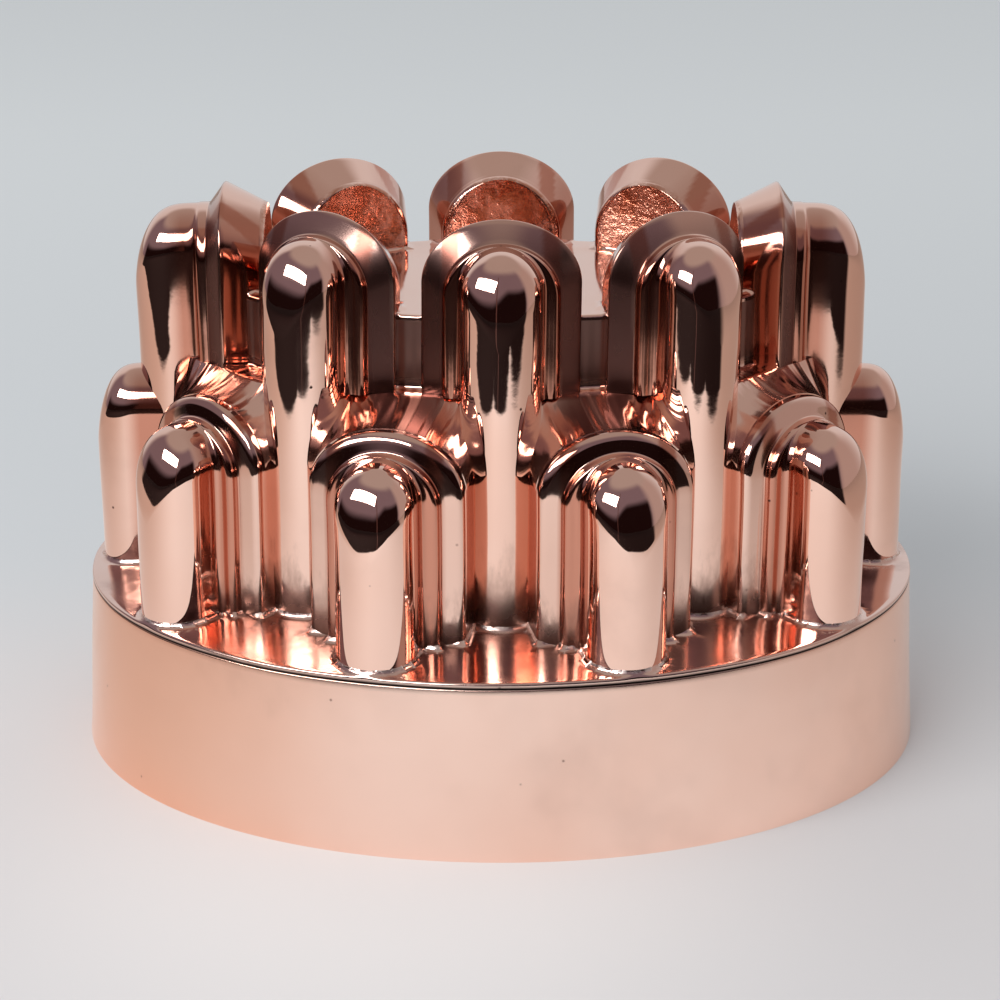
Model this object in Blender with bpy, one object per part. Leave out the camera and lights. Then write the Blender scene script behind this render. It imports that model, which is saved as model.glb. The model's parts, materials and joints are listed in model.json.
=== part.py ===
# Oval two-tier copper jelly mould, standing on its open mouth.
# The long axis runs along X, the front faces -Y and the crown points up.
# Every piece is a thin pressed or rolled copper sheet, soldered to its neighbours.

import math

import bmesh
import bpy
import numpy as np
from mathutils.geometry import delaunay_2d_cdt

MM = 0.001

# Sheet and fit
SHEET = 0.9 * MM
JOINT_GAP = 0.3 * MM
LAP_GAP = 0.5 * MM

# Skirt: an oval band, a little wider at its mouth than at the shoulder
SHOULDER_LONG = 82.0 * MM
SHOULDER_SHORT = 64.2 * MM
SKIRT_FLARE = 2.0 * MM
SKIRT_HEIGHT = 33.7 * MM
SKIRT_LAP = 7.0 * MM
SKIRT_EDGE_ROUND = 0.3 * MM
SKIRT_STEPS = 64

# Shoulder ring: the coved ledge between the skirt and the turrets
SHOULDER_RISE = 2.4 * MM
SHOULDER_WIDTH = 26.0 * MM
SHOULDER_EDGE_ROUND = 0.45 * MM
SHOULDER_FLANGE = 4.5 * MM

# Turret columns
COLUMN_RADIUS = 7.5 * MM
HEAD_SIDE_DROP = 8.3 * MM
HEAD_FRONT_DROP = 18.0 * MM
RING_STEP = 2.5 * MM
RING_THICKNESS = 1.9 * MM
RING_RISE = 0.9 * MM
RING_DROP = 9.6 * MM
COLLAR_DROP = 12.0 * MM
COLLAR_ROUND = 1.7 * MM

# Lower tier, measured up from the shoulder and in from its edge
LOWER_HEIGHT = 42.3 * MM
LOWER_RIDGE_DROP = 4.1 * MM
LOWER_REACH = 15.1 * MM
LOWER_COLLAR_HALF = 14.8 * MM
LOWER_FOOT_MARGIN = 0.75 * MM
LOWER_FRONT_DEPTH = 9.2 * MM
LOWER_FRONT_STATION = 17.4
LOWER_FRONT_TURN = 12.5
LOWER_SIDE_DEPTH = 13.6 * MM
LOWER_SIDE_STATION = 54.6
LOWER_SIDE_TURN = 44.0
LOWER_END_RADIUS = 7.1 * MM
LOWER_END_REACH = 13.9 * MM
LOWER_END_MARGIN = 2.1 * MM
LOWER_END_DROP = 1.3 * MM
LOWER_END_DEPTH = 3.0 * MM

# Upper tier
UPPER_HEIGHT = 77.4 * MM
UPPER_RIDGE_DROP = 4.2 * MM
UPPER_REACH = 14.2 * MM
UPPER_COLLAR_HALF = 14.9 * MM
UPPER_SETBACK_LONG = 27.3 * MM
UPPER_SETBACK_SHORT = 34.2 * MM
UPPER_SIDE_STATION = 37.6
UPPER_SIDE_TURN = 28.5
UPPER_END_REACH = 16.2 * MM
UPPER_END_COLLAR_HALF = 14.6 * MM
VAULT_DEPTH = 9.7 * MM
VAULT_TAPER = 3.5 * MM
VAULT_FALL = 2.6 * MM
COLLAR_WALL_DEPTH = 2.9 * MM
NOTCH_WALL_DEPTH = 8.0 * MM
NOTCH_FROM_STATION = 50.0

# Crown plate, saddles and the walls between the upper collars
DECK_HEIGHT = 58.9 * MM
DECK_INSET = 1.2 * MM
DECK_STEPS = 64
SADDLE_RISE = 1.9 * MM
SADDLE_LAP = 4.5 * MM
SADDLE_ARC = 76.0
SADDLE_FRONT_STATION = 19.0
SADDLE_SIDE_STATION = 61.0

# Heights and ovals that follow from the sizes above
SHOULDER_UNDER = SKIRT_HEIGHT + JOINT_GAP
FOOT = SHOULDER_UNDER + JOINT_GAP
LOWER_CROWN = SHOULDER_UNDER + LOWER_HEIGHT
UPPER_CROWN = SHOULDER_UNDER + UPPER_HEIGHT
SADDLE_TOP = LOWER_CROWN + SADDLE_RISE
COLLAR_FOOT = SADDLE_TOP + LAP_GAP
DECK_TOP = SHOULDER_UNDER + DECK_HEIGHT
DECK_UNDER = DECK_TOP - SHEET
UPPER_LONG = SHOULDER_LONG - UPPER_SETBACK_LONG
UPPER_SHORT = SHOULDER_SHORT - UPPER_SETBACK_SHORT
DECK_LONG = UPPER_LONG - DECK_INSET
DECK_SHORT = UPPER_SHORT - DECK_INSET

# Points closer than this are one point
WELD = 0.0001 * MM

# Facets
ARCH_ANGLES = np.radians(np.linspace(-90.0, 90.0, 9))
HEAD_ANGLES = np.radians(np.linspace(0.0, 90.0, 5))
COLLAR_ROUND_ANGLES = np.radians(np.linspace(0.0, 90.0, 3))

FINISHES = {
    "skirt": ((0.86, 0.50, 0.39, 1.0), 0.22),
    "shoulder": ((0.88, 0.56, 0.45, 1.0), 0.14),
    "lower_turret": ((0.90, 0.58, 0.47, 1.0), 0.10),
    "upper_turret": ((0.88, 0.55, 0.44, 1.0), 0.10),
    "saddle": ((0.84, 0.47, 0.35, 1.0), 0.14),
    "crown_plate": ((0.87, 0.56, 0.46, 1.0), 0.14),
}


def clear_scene():
    """Removes every object, so that the script gives the same part each time."""
    for item in list(bpy.data.objects):
        bpy.data.objects.remove(item, do_unlink=True)


def finish(kind):
    """One copper finish: a Principled material with the colour of the piece."""
    colour, roughness = FINISHES[kind]
    material = bpy.data.materials.new(kind + "_copper")
    material.use_nodes = True
    shader = material.node_tree.nodes["Principled BSDF"]
    shader.inputs["Base Color"].default_value = colour
    shader.inputs["Metallic"].default_value = 1.0
    shader.inputs["Roughness"].default_value = roughness
    material.diffuse_color = colour
    return material


def new_object(name, points, faces, kind=None):
    """A mesh object from points and faces, welded and with its faces out."""
    mesh = bpy.data.meshes.new(name)
    mesh.from_pydata([tuple(map(float, p)) for p in points], [], faces)
    work = bmesh.new()
    work.from_mesh(mesh)
    bmesh.ops.remove_doubles(work, verts=work.verts, dist=WELD)
    bmesh.ops.dissolve_degenerate(work, dist=WELD, edges=work.edges)
    bmesh.ops.recalc_face_normals(work, faces=work.faces)
    work.to_mesh(mesh)
    work.free()
    item = bpy.data.objects.new(name, mesh)
    bpy.context.scene.collection.objects.link(item)
    if kind:
        mesh.materials.append(finish(kind))
    return item


def keep_largest(item):
    """Drops the waste crumbs that a cut leaves, and keeps the one sheet."""
    work = bmesh.new()
    work.from_mesh(item.data)
    bmesh.ops.remove_doubles(work, verts=work.verts, dist=WELD)
    bmesh.ops.dissolve_degenerate(work, dist=WELD, edges=work.edges)
    left = set(work.verts)
    groups = []
    while left:
        seed = left.pop()
        group = {seed}
        queue = [seed]
        while queue:
            vert = queue.pop()
            for edge in vert.link_edges:
                other = edge.other_vert(vert)
                if other in left:
                    left.discard(other)
                    group.add(other)
                    queue.append(other)
        groups.append(group)
    groups.sort(key=len)
    waste = [vert for group in groups[:-1] for vert in group]
    bmesh.ops.delete(work, geom=waste, context="VERTS")
    work.to_mesh(item.data)
    work.free()


def cut(item, cutters):
    """Cuts each cutter out of the item with an exact Boolean and removes it."""
    for cutter in cutters:
        cutter.hide_render = True
        cutter.display_type = "WIRE"
        modifier = item.modifiers.new("cut", "BOOLEAN")
        modifier.operation = "DIFFERENCE"
        modifier.solver = "EXACT"
        modifier.object = cutter
        bpy.context.view_layer.update()
        graph = bpy.context.evaluated_depsgraph_get()
        result = bpy.data.meshes.new_from_object(item.evaluated_get(graph))
        item.modifiers.clear()
        old = item.data
        item.data = result
        result.name = item.name
        bpy.data.meshes.remove(old)
    for cutter in cutters:
        bpy.data.objects.remove(cutter, do_unlink=True)
    keep_largest(item)


def smooth(item, angle=35.0):
    """Shades round stretches smooth and keeps the folds sharp."""
    item.data.shade_smooth()
    item.data.set_sharp_from_angle(angle=math.radians(angle))


def sheet_from_grids(name, outer, inner, kind, open_ends=(0, -1)):
    """A closed sheet between two grids of points with the same rows and columns.

    Each grid is rows x columns x 3. The free edges of the two grids are
    bridged along both sides and at the open ends. A row that is folded flat
    onto one line closes itself and is left out of open_ends.
    """
    rows, columns = outer.shape[:2]
    points = np.concatenate([outer.reshape(-1, 3), inner.reshape(-1, 3)])
    shift = rows * columns
    faces = []
    for i in range(rows - 1):
        k = i + 1
        for j in range(columns - 1):
            quad = (i * columns + j, i * columns + j + 1, k * columns + j + 1, k * columns + j)
            faces.append(quad)
            faces.append(tuple(shift + v for v in reversed(quad)))
        for j in (0, columns - 1):
            faces.append((i * columns + j, k * columns + j, shift + k * columns + j,
                          shift + i * columns + j))
    for end in open_ends:
        i = end % rows
        for j in range(columns - 1):
            faces.append((i * columns + j, i * columns + j + 1,
                          shift + i * columns + j + 1, shift + i * columns + j))
    return new_object(name, points, faces, kind)


def prism(name, outline, low, high):
    """An upright prism over a plan outline, used as a cutter."""
    count = len(outline)
    points = [(x, y, low) for x, y in outline] + [(x, y, high) for x, y in outline]
    faces = [tuple(range(count)), tuple(range(count, 2 * count))]
    for i in range(count):
        k = (i + 1) % count
        faces.append((i, k, count + k, count + i))
    return new_object(name, points, faces)


def oval(long_half, short_half, angles):
    """Points of an oval at the given angles, measured from +X."""
    return np.stack([long_half * np.cos(angles), short_half * np.sin(angles)], axis=-1)


class Turret:
    """Where one turret stands, which way it faces and how big it is.

    Its own axes are n, straight out of the collar face, and t, along the face.
    Places are given by a station, the oval's own angle from the middle of the
    long side, and by the side of the mould: left or right, front or back.
    """

    def __init__(self, name, point, turn, reach, radius, ridge, collar_half, crown, depth):
        self.name = name
        self.base = np.array(point)
        self.out = np.array([math.sin(turn), -math.cos(turn)])
        self.along = np.array([-self.out[1], self.out[0]])
        self.reach = reach
        self.radius = radius
        self.ridge = ridge
        self.collar_half = collar_half
        self.crown = crown
        self.depth = depth
        self.is_upper = name.startswith("upper")

    def wall_depths(self):
        """How far the collar's two walls run back below the crown plate.

        The wall on the side of a deep corner notch runs further than one that
        faces a notch on a long side.
        """
        depths = []
        for side in (-1.0, 1.0):
            edge = self.base + side * self.collar_half * self.along
            at_corner = abs(edge[0]) / UPPER_LONG > math.sin(math.radians(NOTCH_FROM_STATION))
            depths.append(NOTCH_WALL_DEPTH if at_corner else COLLAR_WALL_DEPTH)
        return depths

    def world(self, t, n):
        """Plan position of a point given along and out of the collar face."""
        t = np.asarray(t, dtype=float)
        n = np.asarray(n, dtype=float)
        return self.base + t[..., None] * self.along + n[..., None] * self.out

    def place(self, section, n):
        """World points of a section: rows of (t, z) at the distance n."""
        plan = self.world(section[:, 0], np.full(len(section), n))
        return np.column_stack([plan, section[:, 1]])


def arch(half, crown, drop):
    """Points (t, z) of a half ellipse, from one springing to the other."""
    return np.column_stack([half * np.sin(ARCH_ANGLES), crown - drop * (1 - np.cos(ARCH_ANGLES))])


def head_section(radius, offset, ridge):
    """Arch points across the head, offset in front of the column's centre.

    The head falls by HEAD_SIDE_DROP at its sides and HEAD_FRONT_DROP in front.
    """
    half = math.sqrt(max(radius ** 2 - offset ** 2, 0.0))
    t = half * np.sin(ARCH_ANGLES)
    far = np.maximum(t ** 2 + offset ** 2, 1e-12)
    front_share = offset ** 2 / far
    drop = HEAD_SIDE_DROP + (HEAD_FRONT_DROP - HEAD_SIDE_DROP) * front_share
    fall = 1 - np.sqrt(np.maximum(1 - far / radius ** 2, 0.0))
    return np.column_stack([t, ridge - drop * fall])


def with_legs(section, foot):
    """Adds the straight legs of an arch down to the foot."""
    left, right = section[0], section[-1]
    return np.vstack([[left[0], foot], section, [right[0], foot]])


def with_stem(section, stem_half, foot, collar_foot):
    """Adds legs to the collar's foot, a step in to the column and its own legs."""
    left, right = section[0, 0], section[-1, 0]
    return np.vstack([[-stem_half, foot], [-stem_half, collar_foot], [left, collar_foot],
                      section, [right, collar_foot], [stem_half, collar_foot], [stem_half, foot]])


def collar_sections(turret, inset):
    """Arch sections of ring and collar, as (n, section), front to back."""
    ring_half = turret.radius + RING_STEP - inset
    ring = arch(ring_half, turret.ridge + RING_RISE - inset, RING_DROP)
    out = [(RING_THICKNESS - inset, ring), (-inset, ring)]
    for angle in COLLAR_ROUND_ANGLES:
        inward = COLLAR_ROUND * (1 - math.sin(angle)) + inset
        behind = COLLAR_ROUND * (1 - math.cos(angle)) + inset
        out.append((-behind, arch(turret.collar_half - inward, turret.crown - inward,
                                  COLLAR_DROP)))
    return out


def column_sections(turret, inset):
    """Sections of the head and column, as (n, section, half-width)."""
    centre = turret.reach - turret.radius
    radius = turret.radius - inset
    out = []
    for angle in HEAD_ANGLES:
        offset = radius * math.cos(angle)
        out.append((centre + offset, head_section(radius, offset, turret.ridge - inset)))
    out.append((RING_THICKNESS - inset, arch(radius, turret.ridge - inset, HEAD_SIDE_DROP)))
    return out


def lower_grid(turret, inset, foot=FOOT):
    """Sections of a lower turret from its front to its open back."""
    rows = [turret.place(with_legs(s, foot), n) for n, s in column_sections(turret, inset)]
    if turret.collar_half:
        sections = collar_sections(turret, inset)
        sections.append((-turret.depth, sections[-1][1]))
    else:
        sections = [(-turret.depth, column_sections(turret, inset)[-1][1])]
    rows += [turret.place(with_legs(s, foot), n) for n, s in sections]
    return np.array(rows)


def upper_grid(turret, inset, foot=FOOT):
    """Sections of an upper turret from its front to the closed end of its vault."""
    stem = turret.radius - inset
    collar_foot = COLLAR_FOOT + inset
    rows = []
    for n, section in column_sections(turret, inset):
        half = abs(section[0, 0])
        rows.append(turret.place(with_stem(section, half, foot, collar_foot), n))
    sections = collar_sections(turret, inset)
    back = arch(turret.collar_half - VAULT_TAPER - inset, turret.crown - VAULT_FALL - inset,
                COLLAR_DROP)
    sections.append((-VAULT_DEPTH + inset, back))
    for n, section in sections:
        rows.append(turret.place(with_stem(section, stem, foot, collar_foot), n))
    closed = with_stem(back, stem, foot, collar_foot)
    closed[:, 0] = 0.0
    rows.append(turret.place(closed, -VAULT_DEPTH + inset))
    return np.array(rows)


def filled(name, grid, cap_back):
    """The solid that a turret's sections enclose, used to cut its neighbours.

    The section legs are joined across the foot, and an open back is capped.
    """
    rows, columns = grid.shape[:2]
    faces = []
    for i in range(rows - 1):
        for j in range(columns):
            m = (j + 1) % columns
            faces.append((i * columns + j, i * columns + m, (i + 1) * columns + m,
                          (i + 1) * columns + j))
    if cap_back:
        faces.append(tuple(range((rows - 1) * columns, rows * columns)))
    return new_object(name, grid.reshape(-1, 3), faces)


def space_of(turret):
    """The room that a turret takes, grown by the joint gap, as a cutter."""
    low = SHOULDER_UNDER - SHEET
    if turret.is_upper:
        return filled("upper_space", upper_grid(turret, -JOINT_GAP, low), cap_back=False)
    return filled("lower_space", lower_grid(turret, -JOINT_GAP, low), cap_back=True)


def four_places(name, long_half, short_half, station, turn, reach):
    """Names, collar centres and turns of four turrets that mirror each other.

    The front of each column stands on the oval; reach leads back to its collar.
    """
    out = []
    for side, side_sign in (("left", -1.0), ("right", 1.0)):
        for end, end_sign in (("front", -1.0), ("back", 1.0)):
            angle = math.radians(turn)
            front = oval(side_sign * long_half, end_sign * short_half,
                         np.array(math.radians(90.0 - station)))
            facing = np.array([side_sign * math.sin(angle), end_sign * math.cos(angle)])
            heading = math.atan2(facing[0], -facing[1])
            out.append((name.format(end, side), front - reach * facing, heading))
    return out


def upper_turrets():
    """The eight upper turrets."""
    quarter = math.pi / 2
    ridge = UPPER_CROWN - UPPER_RIDGE_DROP
    places = [("upper_turret_front", (0.0, -UPPER_SHORT), 0.0),
              ("upper_turret_back", (0.0, UPPER_SHORT), math.pi)]
    places += four_places("upper_turret_{}_{}", UPPER_LONG, UPPER_SHORT, UPPER_SIDE_STATION,
                          UPPER_SIDE_TURN, 0.0)
    out = [Turret(*place, UPPER_REACH, COLUMN_RADIUS, ridge, UPPER_COLLAR_HALF, UPPER_CROWN,
                  VAULT_DEPTH) for place in places]
    ends = [("upper_turret_left", (-UPPER_LONG, 0.0), -quarter),
            ("upper_turret_right", (UPPER_LONG, 0.0), quarter)]
    out += [Turret(*place, UPPER_END_REACH, COLUMN_RADIUS, ridge, UPPER_END_COLLAR_HALF,
                   UPPER_CROWN, VAULT_DEPTH) for place in ends]
    return out


def lower_turrets():
    """The eight lower turrets with collars and the two plain ones at the ends."""
    quarter = math.pi / 2
    ridge = LOWER_CROWN - LOWER_RIDGE_DROP
    long_half = SHOULDER_LONG - LOWER_FOOT_MARGIN
    short_half = SHOULDER_SHORT - LOWER_FOOT_MARGIN
    out = []
    for name, station, turn, depth in (
            ("lower_turret_{}_{}", LOWER_FRONT_STATION, LOWER_FRONT_TURN, LOWER_FRONT_DEPTH),
            ("lower_turret_side_{}_{}", LOWER_SIDE_STATION, LOWER_SIDE_TURN, LOWER_SIDE_DEPTH)):
        for place in four_places(name, long_half, short_half, station, turn, LOWER_REACH):
            out.append(Turret(*place, LOWER_REACH, COLUMN_RADIUS, ridge, LOWER_COLLAR_HALF,
                              LOWER_CROWN, depth))
    end = SHOULDER_LONG - LOWER_END_MARGIN - LOWER_END_REACH
    ends = [("lower_turret_left", (-end, 0.0), -quarter), ("lower_turret_right", (end, 0.0), quarter)]
    out += [Turret(*place, LOWER_END_REACH, LOWER_END_RADIUS, LOWER_CROWN - LOWER_END_DROP,
                   0.0, 0.0, LOWER_END_DEPTH) for place in ends]
    return out


def build_skirt():
    """The skirt band: one strip bent to an oval, its ends lapped at the back.

    The tongue at its end is set in by a sheet and a gap, so that it lies
    inside the strip's start, and is cut down to clear the shoulder's flange.
    """
    start = math.pi / 2
    finish_angle = start + 2 * math.pi
    lap = SKIRT_LAP / SHOULDER_LONG
    ramp = 0.5 * lap
    slit = JOINT_GAP / SHOULDER_LONG
    main_run = np.linspace(start + slit, finish_angle - ramp, SKIRT_STEPS)
    tongue = finish_angle + np.array([-0.5 * ramp, -slit, lap])
    angles = np.concatenate([main_run, tongue])
    inset = np.concatenate([np.zeros(SKIRT_STEPS), [0.6, 1.0, 1.0]]) * (SHEET + JOINT_GAP)
    tops = np.full(len(angles), SKIRT_HEIGHT)
    tops[-3:] = SHOULDER_UNDER - SHOULDER_FLANGE - JOINT_GAP
    tops[-4] = tops[-1]
    edge = SKIRT_EDGE_ROUND
    outer = skirt_grid(angles, inset, tops, [(0.0, 0.0, 0.0), (0.0, 1.0, -edge), (edge, 1.0, 0.0)])
    inner = skirt_grid(angles, inset, tops, [(SHEET, 0.0, 0.0), (SHEET, 1.0, -edge),
                                             (SHEET - edge, 1.0, 0.0)])
    return sheet_from_grids("skirt_band", outer, inner, "skirt")


def skirt_grid(angles, inset, tops, profile):
    """Rows round the oval; a profile point is (distance in, share of height, extra height)."""
    rows = []
    for angle, extra, top in zip(angles, inset, tops):
        row = []
        for inward, share, more in profile:
            z = share * top + more
            grow = SKIRT_FLARE * (1 - z / SKIRT_HEIGHT) - inward - extra
            x, y = oval(SHOULDER_LONG + grow, SHOULDER_SHORT + grow, np.array(angle))
            row.append((x, y, z))
        rows.append(row)
    return np.array(rows)


def inward_distance(plan):
    """How far each plan point lies inside the shoulder's edge, found by halving."""
    low = np.zeros(len(plan))
    high = np.full(len(plan), SHOULDER_SHORT - WELD)
    for _ in range(40):
        middle = 0.5 * (low + high)
        inside = ((plan[:, 0] / (SHOULDER_LONG - middle)) ** 2
                  + (plan[:, 1] / (SHOULDER_SHORT - middle)) ** 2) < 1.0
        low = np.where(inside, middle, low)
        high = np.where(inside, high, middle)
    return low


def shoulder_height(inward):
    """Height of the ledge's top: a rounded edge and then a cove that rises inwards."""
    share = np.clip(inward / SHOULDER_WIDTH, 0.0, 1.0)
    edge = SHOULDER_EDGE_ROUND * np.clip(1 - inward / SHOULDER_EDGE_ROUND, 0.0, 1.0)
    return SHOULDER_UNDER + SHEET + SHOULDER_RISE * share ** 1.3 - edge


def footprint(grid, leg):
    """Plan outline that one pair of a turret's legs draws, from the back round the front."""
    outline = np.concatenate([grid[::-1, leg, :2], grid[:, -1 - leg, :2]])
    step = np.linalg.norm(outline - np.roll(outline, 1, axis=0), axis=1)
    return outline[step > WELD]


def plan_sheet(name, kind, rims, holes, top, under, rib=None):
    """A sheet over the plan between the first and the last rim, less the holes.

    The rims are nested outlines, the holes are outlines that may overlap, and
    top and under give the heights at plan points. With rib, the pair of rims
    that it names bounds a rib that reaches down to the given height.
    """
    outlines = rims + holes
    starts = np.cumsum([0] + [len(outline) for outline in outlines])
    corners = [tuple(map(float, point)) for outline in outlines for point in outline]
    loops = [list(range(starts[i], starts[i + 1])) for i in range(len(outlines))]
    points, _, triangles, _, _, origins = delaunay_2d_cdt(corners, [], loops, 1, WELD)
    plan = np.array([tuple(point) for point in points])
    inner, first_hole = len(rims) - 1, len(rims)
    kept = [(tri, set(origin)) for tri, origin in zip(triangles, origins)
            if 0 in origin and (inner not in origin or inner == 0) and max(origin) < first_hole]
    count = len(plan)
    levels = [np.column_stack([plan, top(plan)]), np.column_stack([plan, under(plan)])]
    ribbed = []
    if rib:
        outer_rim, inner_rim, low = rib
        ribbed = [tri for tri, origin in kept if outer_rim in origin and inner_rim not in origin]
        levels.append(np.column_stack([plan, np.full(count, low)]))
    rib_set = {tuple(tri) for tri in ribbed}
    faces = []
    for tri, _ in kept:
        faces.append(tuple(tri))
        level = 2 if tuple(tri) in rib_set else 1
        faces.append(tuple(level * count + v for v in reversed(tri)))
    faces += walls([tri for tri, _ in kept], 0, count)
    faces += walls(ribbed, count, 2 * count)
    item = new_object(name, np.concatenate(levels), faces, kind)
    keep_largest(item)
    return item


def walls(triangles, upper, lower):
    """Upright faces along the free edges of a patch, between two levels of points."""
    edges = {}
    for tri in triangles:
        for i in range(3):
            a, b = tri[i], tri[(i + 1) % 3]
            edges[(a, b)] = True
    return [(upper + b, upper + a, lower + a, lower + b) for a, b in edges if (b, a) not in edges]


def build_shoulder(turrets):
    """The ledge: a coved oval ring with a flange inside the skirt.

    It is cut out to the feet of all the turrets, which stand in it.
    """
    angles = (np.arange(SKIRT_STEPS) + 0.5) * (2 * math.pi / SKIRT_STEPS)
    flange = SHEET + JOINT_GAP
    distances = [0.0, SHOULDER_EDGE_ROUND, flange, flange + SHEET, 0.6 * SHOULDER_WIDTH,
                 SHOULDER_WIDTH]
    rims = [oval(SHOULDER_LONG - d, SHOULDER_SHORT - d, angles) for d in distances]
    holes = []
    for turret in turrets:
        grid = upper_grid if turret.is_upper else lower_grid
        holes.append(footprint(grid(turret, -JOINT_GAP), 0))
    low = SHOULDER_UNDER - SHOULDER_FLANGE
    return plan_sheet("shoulder_ring", "shoulder", rims, holes,
                      lambda plan: shoulder_height(inward_distance(plan)),
                      lambda plan: np.maximum(
                          shoulder_height(inward_distance(plan)) - SHEET, SHOULDER_UNDER),
                      rib=(2, 3, low))


def build_lower(turret, neighbours):
    """One lower turret, cut to the columns that stand beside and behind it."""
    item = sheet_from_grids(turret.name, lower_grid(turret, 0.0), lower_grid(turret, SHEET),
                            "lower_turret", open_ends=(-1,))
    cut(item, [space_of(other) for other in neighbours])
    return item


def build_upper(turret):
    """One upper turret; behind its collar it stays open below the crown plate."""
    item = sheet_from_grids(turret.name, upper_grid(turret, 0.0), upper_grid(turret, SHEET),
                            "upper_turret", open_ends=())
    wide = turret.collar_half + SHEET
    far = -VAULT_DEPTH - SHEET
    low, high = (-depth for depth in turret.wall_depths())
    outline = turret.world([-wide, 0.0, 0.0, wide, wide, -wide],
                           [low, low, high, high, far, far])
    cut(item, [prism("open_back", outline, FOOT - SHEET, DECK_UNDER)])
    return item


def build_crown_plate(turrets):
    """The flat crown plate, cut out round the vaults of the upper turrets."""
    angles = (np.arange(DECK_STEPS) + 0.5) * (2 * math.pi / DECK_STEPS)
    holes = [footprint(upper_grid(turret, -JOINT_GAP), 2) for turret in turrets]
    return plan_sheet("crown_plate", "crown_plate", [oval(DECK_LONG, DECK_SHORT, angles)], holes,
                      lambda plan: np.full(len(plan), DECK_TOP),
                      lambda plan: np.full(len(plan), DECK_UNDER))


def saddle_grids(turret, notch):
    """Top and under grids of a saddle and the wall that rises from it.

    The saddle starts as an arch lapped over the lower collar, flattens as it
    runs in, and turns up at the oval's notch as the wall to the crown plate.
    """
    side_x = math.copysign(1.0, turret.base[0])
    side_y = math.copysign(1.0, turret.base[1])
    foot = np.array([side_x * DECK_LONG * math.sin(notch), side_y * DECK_SHORT * math.cos(notch)])
    inward = -np.array([foot[0] / DECK_LONG ** 2, foot[1] / DECK_SHORT ** 2])
    inward /= np.linalg.norm(inward)
    across = np.array([-inward[1], inward[0]])
    if across @ turret.along < 0:
        across = -across
    angles = np.radians(np.linspace(-SADDLE_ARC, SADDLE_ARC, 9))
    half = turret.collar_half + LAP_GAP
    t = half * np.sin(angles)
    start_z = turret.crown + LAP_GAP - COLLAR_DROP * (1 - np.cos(angles))
    start = turret.world(t, np.full(len(t), -SADDLE_LAP))
    end = foot + t[:, None] * across
    end_z = SADDLE_TOP - SHEET
    under, top = [], []
    for share in np.linspace(0.0, 1.0, 5):
        plan = start + (end - start) * share
        z = start_z + (end_z - start_z) * share ** 1.6
        local = (plan - turret.base) @ turret.along
        depth = -(plan - turret.base) @ turret.out
        reach = np.clip(1 - (local / turret.collar_half) ** 2, 0.0, 1.0)
        roof = turret.crown - COLLAR_DROP * (1 - np.sqrt(reach)) + LAP_GAP
        over = (np.abs(local) < turret.collar_half) & (depth < turret.depth + SHEET)
        z = np.where(over, np.maximum(z, roof), z)
        under.append(np.column_stack([plan, z]))
        top.append(np.column_stack([plan, z + SHEET]))
    under[-1][:, :2] += SHEET * inward
    wall_top = DECK_UNDER - JOINT_GAP
    top.append(np.column_stack([end, np.full(len(t), wall_top)]))
    under.append(np.column_stack([end + SHEET * inward, np.full(len(t), wall_top)]))
    return np.array(top), np.array(under)


def build_saddle(turret, notch, neighbours):
    """The saddle behind one lower collar, cut to the two upper turrets beside it."""
    name = turret.name.replace("lower_turret", "saddle")
    top, under = saddle_grids(turret, notch)
    item = sheet_from_grids(name, top, under, "saddle")
    cut(item, [space_of(other) for other in neighbours])
    return item


def nearest(turret, others, count):
    """The others that stand nearest to a turret."""
    ranked = sorted(others, key=lambda other: float(np.linalg.norm(other.base - turret.base)))
    return ranked[:count]


def main():
    clear_scene()
    upper = upper_turrets()
    lower = lower_turrets()
    pieces = [build_skirt(), build_shoulder(upper + lower), build_crown_plate(upper)]
    pieces += [build_upper(turret) for turret in upper]
    for turret in lower:
        pieces.append(build_lower(turret, nearest(turret, upper, 3)))
    for turret in lower:
        if not turret.collar_half:
            continue
        is_front = "side" not in turret.name
        notch = math.radians(SADDLE_FRONT_STATION if is_front else SADDLE_SIDE_STATION)
        pieces.append(build_saddle(turret, notch, nearest(turret, upper, 3)))
    for piece in pieces:
        smooth(piece)


main()
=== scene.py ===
# %% [markdown]
# # An oval copper jelly mould
#
# The real mould stands on its open mouth. It has a smooth skirt band, a bright coved
# ledge, and two tiers of round-headed columns, each with a stepped ring and an arched
# collar behind its head. Every piece is thin copper sheet, pressed over a former or bent
# round one, then soldered to its neighbours and polished. The hollow inside is tinned.
#
# The solid model gives the sizes and the place of each piece. This lesson rebuilds the
# same pieces as fine surfaces, because polished copper is a mirror: a fold of half a
# millimetre shows as a bright line, and a flat facet shows as a broken reflection.

import json
import math

import bmesh
import bpy
import numpy as np
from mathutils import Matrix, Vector
from mathutils.geometry import delaunay_2d_cdt

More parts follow.
